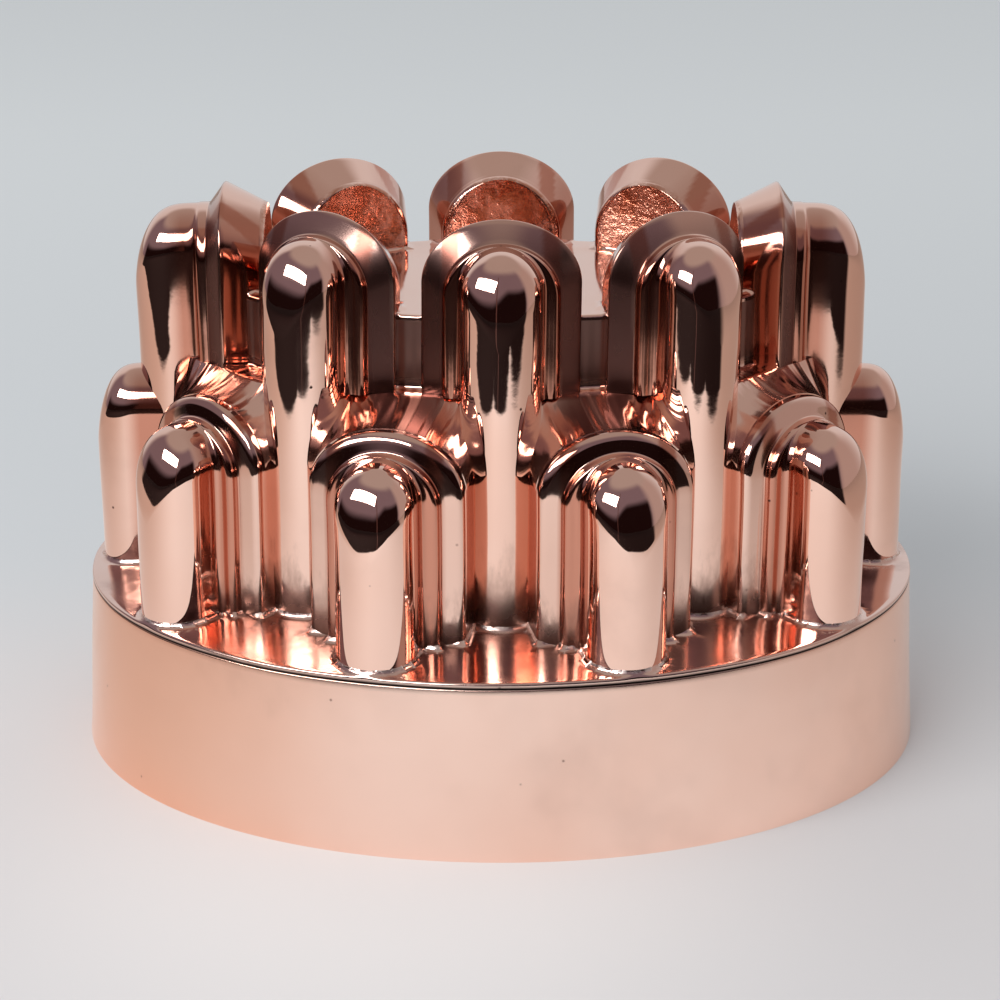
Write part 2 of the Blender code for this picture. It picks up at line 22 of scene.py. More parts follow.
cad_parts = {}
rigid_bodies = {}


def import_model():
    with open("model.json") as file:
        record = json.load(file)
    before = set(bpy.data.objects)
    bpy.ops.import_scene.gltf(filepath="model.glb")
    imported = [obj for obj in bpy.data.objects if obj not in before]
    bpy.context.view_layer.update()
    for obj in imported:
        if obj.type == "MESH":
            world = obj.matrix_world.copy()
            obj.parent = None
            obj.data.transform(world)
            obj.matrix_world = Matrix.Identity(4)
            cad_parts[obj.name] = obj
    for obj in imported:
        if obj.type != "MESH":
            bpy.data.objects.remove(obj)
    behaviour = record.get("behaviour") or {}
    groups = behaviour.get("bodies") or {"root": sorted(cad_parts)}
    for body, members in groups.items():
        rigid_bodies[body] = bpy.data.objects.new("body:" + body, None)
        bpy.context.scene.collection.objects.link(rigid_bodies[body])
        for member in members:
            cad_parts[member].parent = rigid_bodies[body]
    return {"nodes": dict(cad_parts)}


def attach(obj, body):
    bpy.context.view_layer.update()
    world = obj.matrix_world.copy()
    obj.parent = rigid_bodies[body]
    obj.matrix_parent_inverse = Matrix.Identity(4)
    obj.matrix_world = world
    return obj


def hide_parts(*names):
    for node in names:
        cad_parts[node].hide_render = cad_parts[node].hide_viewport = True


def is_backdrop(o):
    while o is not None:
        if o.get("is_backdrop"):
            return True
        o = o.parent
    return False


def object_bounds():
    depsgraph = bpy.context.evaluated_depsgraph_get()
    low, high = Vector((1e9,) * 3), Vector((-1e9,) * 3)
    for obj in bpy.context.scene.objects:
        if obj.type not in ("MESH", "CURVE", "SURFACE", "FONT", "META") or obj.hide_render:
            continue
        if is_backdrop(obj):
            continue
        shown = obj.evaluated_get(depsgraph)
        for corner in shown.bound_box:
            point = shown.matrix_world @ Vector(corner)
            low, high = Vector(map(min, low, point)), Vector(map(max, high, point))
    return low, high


for item in list(bpy.data.objects):
    bpy.data.objects.remove(item, do_unlink=True)
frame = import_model()
cad_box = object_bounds()
print("solid model:", len(frame["nodes"]), "nodes")

# %% [markdown]
# ## Sizes
#
# Most of these are the driving sizes of the solid model, so that each surface stands
# where its solid stands. The rings, the collars' edges and the saddles are a little
# finer here than in the solid, as the photo shows them. Lengths are written in
# millimetres and turned to metres once. Stations, turns and arcs are in degrees.

# %% The named sizes
MM = 0.001
SHEET, SOLDER_GAP, WELD = 0.9 * MM, 0.3 * MM, 0.0001 * MM

# Skirt band and ledge
SHOULDER_LONG, SHOULDER_SHORT = 82.0 * MM, 64.2 * MM
SKIRT_FLARE, SKIRT_HEIGHT, SKIRT_LAP = 2.0 * MM, 33.7 * MM, 7.0 * MM
SKIRT_EDGE, SKIRT_INSET, LAP_PLAY = 0.35 * MM, 0.1 * MM, 0.05 * MM
SHOULDER_UNDER = SKIRT_HEIGHT + SOLDER_GAP
SHOULDER_RISE, SHOULDER_WIDTH, SHOULDER_COVE = 2.4 * MM, 26.0 * MM, 1.3
SHOULDER_EDGE_ROUND, SHOULDER_FLANGE, LEDGE_FILLET = 0.45 * MM, 4.5 * MM, 1.3 * MM
FOOT = SHOULDER_UNDER + SOLDER_GAP

# Heights above the skirt, and what follows from them
LOWER_HEIGHT, UPPER_HEIGHT, DECK_HEIGHT = 42.3 * MM, 77.4 * MM, 58.9 * MM
LOWER_RIDGE_DROP, UPPER_RIDGE_DROP, COLLAR_RISE = 3.6 * MM, 4.0 * MM, 2.4 * MM
LOWER_CROWN, UPPER_CROWN = SHOULDER_UNDER + LOWER_HEIGHT, SHOULDER_UNDER + UPPER_HEIGHT
LOWER_RIDGE, UPPER_RIDGE = LOWER_CROWN - LOWER_RIDGE_DROP, UPPER_CROWN - UPPER_RIDGE_DROP
COLLAR_FOOT = LOWER_CROWN + COLLAR_RISE
DECK_TOP = SHOULDER_UNDER + DECK_HEIGHT
DECK_UNDER = DECK_TOP - SHEET

# The ovals that the upper collars and the crown plate keep to
UPPER_SETBACK_LONG, UPPER_SETBACK_SHORT, DECK_INSET = 27.3 * MM, 34.2 * MM, 1.2 * MM
UPPER_LONG = SHOULDER_LONG - UPPER_SETBACK_LONG
UPPER_SHORT = SHOULDER_SHORT - UPPER_SETBACK_SHORT
DECK_LONG, DECK_SHORT = UPPER_LONG - DECK_INSET, UPPER_SHORT - DECK_INSET
DECK_EDGE_ROUND, DECK_FILLET = 0.6 * MM, 0.9 * MM

# Columns, rings, collars and the vaults behind the upper collars
COLUMN_RADIUS, HEAD_SIDE_DROP = 7.5 * MM, 8.3 * MM
HEAD_FRONT_DROP, HEAD_POWER = 18.0 * MM, 3.5
RING_STEP, RING_RISE, RING_DROP = 3.2 * MM, 0.1 * MM, 9.8 * MM
RING_FRONT, RING_BACK = 3.5 * MM, 1.4 * MM
COLLAR_DROP, CREST_DEPTH, LIP_DEPTH = 12.0 * MM, 1.4 * MM, 0.2 * MM
COLLAR_FRONT, COLLAR_FRONT_IN, COLLAR_FRONT_DOWN = 0.7 * MM, 0.7 * MM, 0.9 * MM
VAULT_DEPTH, VAULT_TAPER = 9.7 * MM, 3.5 * MM
VAULT_FALL, VAULT_LIP = 4.0 * MM, 3.0 * MM
COLLAR_WALL_DEPTH, NOTCH_WALL_DEPTH, NOTCH_FROM = 4.6 * MM, 9.0 * MM, 50.0

# Rounding of the folds, from the column back to the vault
FLANK_FOLD, RING_ROUND, RING_FOLD, CREST_ROUND = 1.5 * MM, 1.3 * MM, 0.3 * MM, 0.4 * MM
FRONT_ROUND, LIP_ROUND, VAULT_ROUND = 0.6 * MM, 0.5 * MM, 1.1 * MM
LEAST_ROUND = 0.15 * MM

# Where the turrets stand, and the sizes that differ between them
UPPER_REACH, UPPER_COLLAR_HALF = 14.2 * MM, 14.9 * MM
UPPER_SIDE_STATION, UPPER_SIDE_TURN = 37.6, 28.5
UPPER_END_REACH, UPPER_END_COLLAR_HALF = 16.2 * MM, 14.6 * MM
LOWER_REACH, LOWER_COLLAR_HALF, LOWER_FOOT_MARGIN = 15.1 * MM, 14.8 * MM, 0.75 * MM
LOWER_FRONT_STATION, LOWER_FRONT_TURN, LOWER_FRONT_DEPTH = 17.4, 12.5, 9.2 * MM
LOWER_SIDE_STATION, LOWER_SIDE_TURN, LOWER_SIDE_DEPTH = 54.6, 44.0, 13.6 * MM
LOWER_END_RADIUS, LOWER_END_REACH, LOWER_END_MARGIN = 7.1 * MM, 13.9 * MM, 2.1 * MM
LOWER_END_DROP, LOWER_END_DEPTH = 1.3 * MM, 3.0 * MM

# Saddles
SADDLE_FRONT_STATION, SADDLE_SIDE_STATION, SADDLE_ARC = 19.0, 61.0, 82.0
SADDLE_FRONT_TOP, SADDLE_SIDE_TOP, SADDLE_POWER = 0.78, 0.62, 1.7
SADDLE_START, SADDLE_BULGE = 1.9 * MM, 0.5 * MM
SADDLE_LIFT, SADDLE_FOLD, SADDLE_PLAY = 0.12 * MM, 0.8 * MM, 0.05 * MM
print("sheet", SHEET / MM, "mm; crown", round(UPPER_CROWN / MM, 1), "mm")

# %% [markdown]
# ## Where the turrets stand
#
# A turret is a column with its ring and collar. Its own axes are n, straight out of the
# collar's face, and t, along the face. Four turrets mirror each other about the middle
# of the mould, and the front of each column stands on an oval.


# %% One turret's place and sizes
class Turret:
    """A turret's place, its facing and its sizes.

    A point (t, n) lies at the base, plus t along the face, plus n out of it.
    """

    def __init__(self, name, base, facing, reach, radius, ridge, half, crown, depth):
        self.name = name
        self.base = np.array(base, dtype=float)
        self.out = np.array(facing, dtype=float)
        self.along = np.array([-self.out[1], self.out[0]])
        self.reach, self.radius, self.ridge = reach, radius, ridge
        self.half, self.crown, self.depth = half, crown, depth
        self.centre = reach - radius
        self.is_upper = name.startswith("upper")
        self.is_side = "side" in name

    def plan(self, t, n):
        """Plan points of local coordinates, for arrays of any shape."""
        return self.base + t[..., None] * self.along + n[..., None] * self.out

    def local(self, plan):
        """Local coordinates (t, n) of plan points: the same turn, backwards."""
        away = plan - self.base
        return away @ self.along, away @ self.out


# %% The eight upper and ten lower turrets
def four_places(name, long_half, short_half, station, turn, reach):
    """Names, bases and facings of four turrets that mirror each other.

    The column's front stands on the oval at the station, an angle from the middle of
    the long side, and the reach leads back from there to the collar's face.
    """
    out = []
    for side, x_sign in (("left", -1.0), ("right", 1.0)):
        for end, y_sign in (("front", -1.0), ("back", 1.0)):
            angle, turned = math.radians(station), math.radians(turn)
            front = np.array([x_sign * long_half * math.sin(angle),
                              y_sign * short_half * math.cos(angle)])
            facing = np.array([x_sign * math.sin(turned), y_sign * math.cos(turned)])
            out.append((name.format(end, side), front - reach * facing, facing))
    return out


def all_turrets():
    """The upper tier stands on its collars' oval, the lower one near the ledge's edge."""
    sizes = (COLUMN_RADIUS, UPPER_RIDGE, UPPER_COLLAR_HALF, UPPER_CROWN, VAULT_DEPTH)
    end_sizes = (COLUMN_RADIUS, UPPER_RIDGE, UPPER_END_COLLAR_HALF, UPPER_CROWN, VAULT_DEPTH)
    places = [("upper_turret_front", (0, -UPPER_SHORT), (0, -1)),
              ("upper_turret_back", (0, UPPER_SHORT), (0, 1))]
    places += four_places("upper_turret_{}_{}", UPPER_LONG, UPPER_SHORT,
                          UPPER_SIDE_STATION, UPPER_SIDE_TURN, 0.0)
    upper = [Turret(*place, UPPER_REACH, *sizes) for place in places]
    for name, sign in (("upper_turret_left", -1), ("upper_turret_right", 1)):
        upper.append(Turret(name, (sign * UPPER_LONG, 0), (sign, 0), UPPER_END_REACH, *end_sizes))

    lower = []
    ledge = (SHOULDER_LONG - LOWER_FOOT_MARGIN, SHOULDER_SHORT - LOWER_FOOT_MARGIN)
    sizes = (LOWER_REACH, COLUMN_RADIUS, LOWER_RIDGE, LOWER_COLLAR_HALF, LOWER_CROWN)
    for name, station, turn, depth in (
            ("lower_turret_{}_{}", LOWER_FRONT_STATION, LOWER_FRONT_TURN, LOWER_FRONT_DEPTH),
            ("lower_turret_side_{}_{}", LOWER_SIDE_STATION, LOWER_SIDE_TURN, LOWER_SIDE_DEPTH)):
        lower += [Turret(*place, *sizes, depth)
                  for place in four_places(name, *ledge, station, turn, LOWER_REACH)]
    end = SHOULDER_LONG - LOWER_END_MARGIN - LOWER_END_REACH
    for name, sign in (("lower_turret_left", -1), ("lower_turret_right", 1)):
        lower.append(Turret(name, (sign * end, 0), (sign, 0), LOWER_END_REACH, LOWER_END_RADIUS,
                            LOWER_CROWN - LOWER_END_DROP, 0.0, 0.0, LOWER_END_DEPTH))
    return upper, lower


upper_turrets, lower_turrets = all_turrets()
every_turret = upper_turrets + lower_turrets
print(len(upper_turrets), "upper and", len(lower_turrets), "lower turrets")

# %% [markdown]
# ## A turret as one surface
#
# Seen along n, every slice of a turret is an arch on two straight legs. A row of the
# surface is one such slice, and the rows run from the column's front to the back of the
# vault. The ring and the collar are corners in the path that the slices follow, and the
# corners are rounded, because sheet that is pressed over a former never folds sharply.
# The inner surface is the same shape, smaller by the sheet all round.


# %% Slices and the rounded path that they follow
def rounded_path(corners, steps):
    """Rows along a path of (n, half, crown, drop) corners, each rounded by its radius.

    A rounded corner is a quarter ellipse: the point at angle a is the corner plus
    (1 - sin a) of the way back to its start and (1 - cos a) on to its end.
    """
    points = np.array([corner[:4] for corner in corners])
    radii = [corner[4] for corner in corners]
    turn = np.linspace(0.0, math.pi / 2, steps)[:, None]
    rows = [points[:1]]
    for i in range(1, len(points) - 1):
        before, after = points[i - 1] - points[i], points[i + 1] - points[i]
        start = before * (radii[i] / np.hypot(*before[:2]))
        end = after * (radii[i] / np.hypot(*after[:2]))
        rows.append(points[i] + start * (1 - np.sin(turn)) + end * (1 - np.cos(turn)))
    rows.append(points[-1:])
    return np.vstack(rows)


def refine(rows, guide, longest):
    """Adds rows between rows whose guides lie far apart, so that no step is too long."""
    out = [rows[:1]]
    far = np.hypot(*np.diff(guide[:, :2], axis=0).T)
    for first, second, length in zip(rows[:-1], rows[1:], far):
        count = max(1, int(math.ceil(length / longest)))
        share = np.linspace(0.0, 1.0, count + 1)[1:, None]
        out.append(first + (second - first) * share)
    return np.vstack(out)


def slice_corners(turret, inset):
    """Corners (n, half, crown, drop, round) behind the head: flank, ring, collar, vault.

    The inset is 0 for the outer surface and the sheet for the inner one. Where the path
    slants, a corner's n moves back by a share of the inset: half of it at the ring's
    back and at the lip, 0.4 at an upper crest and 0.9 at a lower collar's front.
    """
    convex = lambda radius: max(radius - inset, LEAST_ROUND)
    concave = lambda radius: radius + inset
    flank = (turret.radius - inset, turret.ridge - inset, HEAD_SIDE_DROP)
    corners = [(turret.centre, *flank, 0.0)]
    if not turret.half:
        return corners + [(-turret.depth, *flank, 0.0)]
    ring = (turret.radius + RING_STEP - inset, turret.ridge + RING_RISE - inset, RING_DROP)
    half, crown = turret.half - inset, turret.crown - inset
    corners += [(RING_FRONT - inset, *flank, concave(FLANK_FOLD)),
                (RING_FRONT - inset, *ring, convex(RING_ROUND)),
                (RING_BACK - 0.5 * inset, *ring, concave(RING_FOLD))]
    if turret.is_upper:
        back, vault_half, vault_crown = -VAULT_DEPTH + inset, half - VAULT_TAPER, crown - VAULT_FALL
        corners += [(-CREST_DEPTH - 0.4 * inset, half, crown, COLLAR_DROP, convex(CREST_ROUND)),
                    (back, vault_half, vault_crown, COLLAR_DROP, convex(VAULT_ROUND)),
                    (back, vault_half - VAULT_LIP, vault_crown, COLLAR_DROP, 0.0)]
    else:
        corners += [(COLLAR_FRONT - 0.9 * inset, half - COLLAR_FRONT_IN,
                     crown - COLLAR_FRONT_DOWN, COLLAR_DROP, convex(FRONT_ROUND)),
                    (-LIP_DEPTH - 0.5 * inset, half, crown, COLLAR_DROP, convex(LIP_ROUND)),
                    (-turret.depth, half, crown, COLLAR_DROP, 0.0)]
    return corners


def slice_rows(turret, inset, steps, longest):
    """Rows behind the head; the outer surface guides where rows are added to both."""
    guide = rounded_path(slice_corners(turret, 0.0), steps)
    return refine(rounded_path(slice_corners(turret, inset), steps), guide, longest)

# %% The grid of one turret
LEG_STEPS, WALL_STEPS = 9, 8
FINE_COUNTS = (65, 26, LEG_STEPS, WALL_STEPS, 6, 0.8 * MM)
PLAIN_COUNTS = (17, 9, 1, 1, 3, 40.0 * MM)


def turret_grid(turret, inset, fine=True, foot=FOOT):
    """Points of a turret's outer surface (inset 0) or inner one (inset a sheet).

    Across a slice, t = half * sin(a) and z = crown - drop * (1 - cos(a)). The head falls
    sideways like an ellipsoid with the side drop. Forwards it falls by the front drop
    in all, along an ellipse from the ring to the front whose power is HEAD_POWER: it
    starts level and bends down late, so no crease shows where the head begins. Legs run
    straight down from the arch to the foot.
    """
    arch_count, head_count, leg_count, wall_count, steps, longest = (
        FINE_COUNTS if fine else PLAIN_COUNTS)
    arch = np.linspace(-math.pi / 2, math.pi / 2, arch_count)
    turn = np.linspace(0.0, math.pi / 2, head_count)[:, None]
    radius = turret.radius - inset
    offset = radius * np.cos(turn)
    head_t = radius * np.sin(turn) * np.sin(arch)
    round_part = 1 - np.sqrt(np.clip(1 - (head_t ** 2 + offset ** 2) / radius ** 2, 0, 1))
    head_z = (turret.ridge - inset - HEAD_SIDE_DROP * round_part
              - (HEAD_FRONT_DROP - HEAD_SIDE_DROP) * (1 - np.sin(turn)))
    rows = slice_rows(turret, inset, steps, longest)
    n, half, crown, drop = (column[:, None] for column in rows.T)
    t = np.vstack([head_t, half * np.sin(arch)])
    z = np.vstack([head_z, crown - drop * (1 - np.cos(arch))])
    n = np.vstack([turret.centre + offset, n])
    along = np.clip((n - RING_FRONT) / (turret.reach - inset - RING_FRONT), 0, 1)
    share_of_round = np.clip((n - turret.centre) / radius, 0, 1)
    z -= HEAD_FRONT_DROP * (np.sqrt(1 - share_of_round ** 2) - np.sqrt(1 - along ** HEAD_POWER))
    stem = np.abs(np.minimum(t[:, -1:], radius))
    edge, spring = t[:, -1:], z[:, -1:]
    share = np.linspace(0.0, 1.0, leg_count + 1)
    if turret.is_upper:
        low = COLLAR_FOOT + inset
        leg_t = np.hstack([stem + 0 * share, stem + (edge - stem) * share[1:],
                           edge + 0 * share[1:-1]])
        leg_z = np.hstack([foot + (low - foot) * share + 0 * stem, low + 0 * stem * share[1:],
                           low + (spring - low) * share[1:-1]])
    else:
        leg_t, leg_z = edge + 0 * share[:-1], foot + (spring - foot) * share[:-1]
    t = np.hstack([-leg_t, t, leg_t[:, ::-1]])
    z = np.hstack([leg_z, z, leg_z[:, ::-1]])
    n = n + 0 * t
    if turret.is_upper:
        wall = np.linspace(1.0, 0.0, wall_count + 1)[1:, None]
        t = np.vstack([t, t[-1:] * wall])
        z = np.vstack([z, z[-1:] + 0 * wall])
        n = np.vstack([n, n[-1:] + 0 * wall])
    return np.concatenate([turret.plan(t, n), z[..., None]], axis=-1)


example = turret_grid(upper_turrets[0], 0.0)
print("one turret:", example.shape[0], "rows of", example.shape[1], "points")

# %% [markdown]
# ## From grids to sheet metal
#
# A piece of sheet has an outer and an inner surface and a free edge. Two grids with the
# same rows and columns give both surfaces, and strips along the edges close them. The
# inner faces carry a second material slot, for the tinned inside.


# %% Sheets and solids from grids
def grid_faces(rows, columns, start=0, wrap=False):
    """Corner numbers of every cell of a grid, as one array."""
    last = columns if wrap else columns - 1
    i, j = np.meshgrid(np.arange(rows - 1), np.arange(last), indexing="ij")
    k = (j + 1) % columns
    corners = [i * columns + j, i * columns + k, (i + 1) * columns + k, (i + 1) * columns + j]
    return np.stack(corners, axis=-1).reshape(-1, 4) + start


def new_piece(name, points, faces, inside=None):
    """A mesh object, welded and with its faces outwards; inside marks tinned faces."""
    mesh = bpy.data.meshes.new(name)
    mesh.from_pydata(points.tolist(), [], [list(face) for face in faces])
    if inside is not None:
        mesh.polygons.foreach_set("material_index", np.asarray(inside, dtype=np.int32))
    work = bmesh.new()
    work.from_mesh(mesh)
    bmesh.ops.remove_doubles(work, verts=work.verts, dist=WELD)
    bmesh.ops.dissolve_degenerate(work, dist=WELD, edges=work.edges)
    bmesh.ops.recalc_face_normals(work, faces=work.faces)
    work.to_mesh(mesh)
    work.free()
    item = bpy.data.objects.new(name, mesh)
    bpy.context.scene.collection.objects.link(item)
    return item


def sheet(name, outer, inner, open_ends=(-1,)):
    """A closed sheet between two grids; open_ends names the rows that are free edges."""
    rows, columns = outer.shape[:2]
    shift = rows * columns
    skins = [grid_faces(rows, columns), grid_faces(rows, columns, shift)]
    number = np.arange(shift).reshape(rows, columns)
    edges = [number[:, 0], number[:, -1]] + [number[end] for end in open_ends]
    strips = [np.stack([line[:-1], line[1:], line[1:] + shift, line[:-1] + shift], axis=-1)
              for line in edges]
    faces = np.vstack(skins + strips)
    inside = np.zeros(len(faces), dtype=np.int32)
    inside[len(skins[0]):2 * len(skins[0])] = 1
    points = np.concatenate([outer.reshape(-1, 3), inner.reshape(-1, 3)])
    return new_piece(name, points, faces, inside)


def solid_of(turret, inset):
    """The room inside a turret's skin, as a plain solid for cutting its neighbours."""
    grid = turret_grid(turret, inset, fine=False, foot=SHOULDER_UNDER - SHEET)
    rows, columns = grid.shape[:2]
    faces = grid_faces(rows, columns, wrap=True).tolist()
    if not turret.is_upper:
        faces.append(list(range((rows - 1) * columns, rows * columns)))
    return new_piece("room", grid.reshape(-1, 3), faces)

# %% Cutting a sheet where it meets its neighbour
CRUMB = 0.001 * MM


def keep_largest(item):
    """Keeps the biggest connected part of a mesh; a cut can leave crumbs behind.

    Each vertex takes the lowest number among its neighbours until nothing changes.
    """
    mesh = item.data
    edges = np.empty(len(mesh.edges) * 2, dtype=np.int64)
    mesh.edges.foreach_get("vertices", edges)
    edges = edges.reshape(-1, 2)
    label = np.arange(len(mesh.vertices))
    while True:
        lowest = np.minimum(label[edges[:, 0]], label[edges[:, 1]])
        fresh = label.copy()
        np.minimum.at(fresh, edges[:, 0], lowest)
        np.minimum.at(fresh, edges[:, 1], lowest)
        fresh = fresh[fresh]
        if np.array_equal(fresh, label):
            break
        label = fresh
    names, counts = np.unique(label, return_counts=True)
    waste = np.flatnonzero(label != names[counts.argmax()])
    work = bmesh.new()
    work.from_mesh(mesh)
    work.verts.ensure_lookup_table()
    bmesh.ops.delete(work, geom=[work.verts[i] for i in waste.tolist()], context="VERTS")
    bmesh.ops.remove_doubles(work, verts=work.verts, dist=CRUMB)
    bmesh.ops.dissolve_degenerate(work, dist=CRUMB, edges=work.edges)
    work.to_mesh(mesh)
    work.free()


def cut(item, cutters):
    """Takes each cutter's room out of the sheet and applies the result."""
    for cutter in cutters:
        modifier = item.modifiers.new("cut", "BOOLEAN")
        modifier.operation, modifier.solver, modifier.object = "DIFFERENCE", "MANIFOLD", cutter
    bpy.context.view_layer.update()
    graph = bpy.context.evaluated_depsgraph_get()
    result = bpy.data.meshes.new_from_object(item.evaluated_get(graph))
    item.modifiers.clear()
    old, name = item.data, item.data.name
    item.data = result
    bpy.data.meshes.remove(old)
    result.name = name
    for cutter in cutters:
        bpy.data.objects.remove(cutter, do_unlink=True)
    keep_largest(item)


def prism(outline, low, high):
    """An upright prism over a plan outline."""
    count = len(outline)
    heights = np.repeat([low, high], count)[:, None]
    points = np.hstack([np.tile(outline, (2, 1)), heights])
    faces = grid_faces(2, count, wrap=True).tolist()
    faces += [list(range(count)), list(range(count, 2 * count))]
    return new_piece("prism", points, faces)

# %% [markdown]
# ## The turrets
#
# The upper turrets stay open behind their collars below the crown plate, so that the
# jelly fills them from inside. The lower turrets end against the upper columns. Each
# cut runs through the middle of the neighbour's sheet, where the solder joint is, so the
# seam closes without a visible gap.


# %% Upper turrets
def wall_depths(turret):
    """How far each side wall of a collar runs back: further beside a deep corner notch."""
    depths = []
    for side in (-1.0, 1.0):
        edge = turret.base + side * turret.half * turret.along
        at_corner = abs(edge[0]) / UPPER_LONG > math.sin(math.radians(NOTCH_FROM))
        depths.append(NOTCH_WALL_DEPTH if at_corner else COLLAR_WALL_DEPTH)
    return depths


def upper_piece(turret):
    """One upper turret, opened at the back below the crown plate."""
    item = sheet(turret.name + "_sheet", turret_grid(turret, 0.0), turret_grid(turret, SHEET),
                 open_ends=())
    wide, far = turret.half + SHEET, -VAULT_DEPTH - SHEET
    low, high = (-depth for depth in wall_depths(turret))
    outline = turret.plan(np.array([-wide, 0.0, 0.0, wide, wide, -wide]),
                          np.array([low, low, high, high, far, far]))
    cut(item, [prism(outline, FOOT - SHEET, DECK_UNDER)])
    return item


pieces = {}
for turret in upper_turrets:
    pieces[turret.name] = upper_piece(turret)
print("upper turrets:", len(pieces), "sheets of",
      len(pieces["upper_turret_front"].data.polygons), "faces")

# %% Lower turrets
NEIGHBOURS = 3


def cut_at_neighbours(item, turret):
    """Ends a sheet in the middle of the sheets of the upper turrets beside it."""
    ranked = sorted(upper_turrets, key=lambda other: np.hypot(*(other.base - turret.base)))
    cut(item, [solid_of(other, SHEET / 2) for other in ranked[:NEIGHBOURS]])
    return item


for turret in lower_turrets:
    item = sheet(turret.name + "_sheet", turret_grid(turret, 0.0), turret_grid(turret, SHEET))
    pieces[turret.name] = cut_at_neighbours(item, turret)
print("with the lower turrets:", len(pieces), "sheets")

# %% [markdown]
# ## Skirt band
#
# A strip of copper bent round to an oval and lapped at the back, where the seam shows
# least. It flares slightly towards the mouth.

# %% The skirt
SKIRT_ROWS, SKIRT_STEPS, EDGE_ROWS = 24, 420, 5
TONGUE_SHARES = (-0.3, -0.15, 0.0, 0.5, 1.0)


def skirt_grid(angles, extra, tops, distance):
    """Rows round the oval from the foot to the rounded top edge.

    A point at height z stands outside the shoulder's oval by the flare that is left
    there, less its distance in through the sheet.
    """
    share = np.concatenate([np.linspace(0.0, 1.0, SKIRT_ROWS + 1)[:-1], np.ones(EDGE_ROWS)])
    turn = np.linspace(0.0, math.pi / 2, EDGE_ROWS)
    lift = np.concatenate([np.zeros(SKIRT_ROWS), SKIRT_EDGE * np.sin(turn) - SKIRT_EDGE])
    inward = np.concatenate([np.zeros(SKIRT_ROWS), SKIRT_EDGE * (1 - np.cos(turn))])
    inward = distance + inward * (1 if distance == 0 else -1)
    z = share * tops[:, None] + lift
    grow = SKIRT_FLARE * (1 - z / SKIRT_HEIGHT) - SKIRT_INSET - inward - extra[:, None]
    x = (SHOULDER_LONG + grow) * np.cos(angles)[:, None]
    y = (SHOULDER_SHORT + grow) * np.sin(angles)[:, None]
    return np.stack([x, y, z], axis=-1)


def skirt_piece():
    """The band: a full turn from the back, and a tongue that lies inside its start.

    The strip steps inwards by a sheet before the lap, and the tongue's top stays below
    the flange of the ledge.
    """
    lap, slit = SKIRT_LAP / SHOULDER_LONG, SOLDER_GAP / SHOULDER_LONG
    start, end = math.pi / 2, 2.5 * math.pi
    angles = np.concatenate([np.linspace(start + slit, end - 0.5 * lap, SKIRT_STEPS),
                             end + lap * np.array(TONGUE_SHARES)])
    stepped = np.clip((angles - end + 0.5 * lap) / (0.4 * lap), 0.0, 1.0)
    extra = (SHEET + LAP_PLAY) * stepped
    tops = np.where(angles > end - 0.5 * lap, SHOULDER_UNDER - SHOULDER_FLANGE - SOLDER_GAP,
                    SKIRT_HEIGHT)
    return sheet("skirt_sheet", skirt_grid(angles, extra, tops, 0.0),
                 skirt_grid(angles, extra, tops, SHEET), open_ends=(0, -1))


pieces["skirt_band"] = skirt_piece()
print("skirt:", len(pieces["skirt_band"].data.polygons), "faces")

# %% [markdown]
# ## Ledge and crown plate
#
# Both are pressed plates that turn up with a small fillet where a turret passes through
# them. A plate is a height over the plan. Its plan is triangulated between its rims and
# the turrets' feet, with extra points where the height bends.


# %% Distances in plan
def box_distance(t, n, half, back, front):
    """Signed distance from (t, n) to a box: the length of what sticks out of it."""
    across, along = np.abs(t) - half, np.maximum(n - front, back - n)
    outside = np.hypot(np.maximum(across, 0.0), np.maximum(along, 0.0))
    return outside + np.minimum(np.maximum(across, along), 0.0)


def foot_distance(plan, turret):
    """Distance from plan points to a turret's foot: column, then ring and collar below."""
    t, n = turret.local(plan)
    far = box_distance(t, n, turret.radius, -turret.depth, turret.centre)
    far = np.minimum(far, np.hypot(t, n - turret.centre) - turret.radius)
    if turret.half and not turret.is_upper:
        ring = box_distance(t, n, turret.radius + RING_STEP, -turret.depth, RING_FRONT)
        collar = box_distance(t, n, turret.half, -turret.depth, COLLAR_FRONT)
        far = np.minimum(far, np.minimum(ring, collar))
    return far


def vault_distance(plan, turret):
    """Distance from plan points to the tapering vault behind an upper collar."""
    t, n = turret.local(plan)
    half = turret.half + VAULT_TAPER * np.clip(n / VAULT_DEPTH, -1.0, 0.0)
    return box_distance(t, n, half, -VAULT_DEPTH, 0.0)


def nearest_distance(plan, turrets, distance):
    """The smallest of the distances to several turrets."""
    return np.min([distance(plan, turret) for turret in turrets], axis=0)


def fillet(away, radius):
    """Height of a quarter-round fillet at a distance from the wall it turns up to."""
    share = 1 - np.clip(away / radius, 0.0, 1.0)
    return radius * (1 - np.sqrt(1 - share ** 2))


# %% Plates from their plan
def spread_points(outlines, offsets, spacing):
    """Points along each outline at several distances on both sides of it."""
    out = []
    for outline in outlines:
        ahead = np.roll(outline, -1, axis=0) - outline
        length = np.hypot(*ahead.T)
        along = np.concatenate([[0.0], np.cumsum(length)])
        places = np.linspace(0.0, along[-1], int(along[-1] / spacing), endpoint=False)
        index = np.clip(np.searchsorted(along, places, side="right") - 1, 0, len(outline) - 1)
        share = (places - along[index]) / np.maximum(length[index], WELD)
        point = outline[index] + ahead[index] * share[:, None]
        normal = np.stack([ahead[index, 1], -ahead[index, 0]], axis=-1)
        normal /= np.maximum(np.hypot(*normal.T), WELD)[:, None]
        out += [point + normal * offset for offset in offsets]
        out += [point - normal * offset for offset in offsets]
    return np.vstack(out)


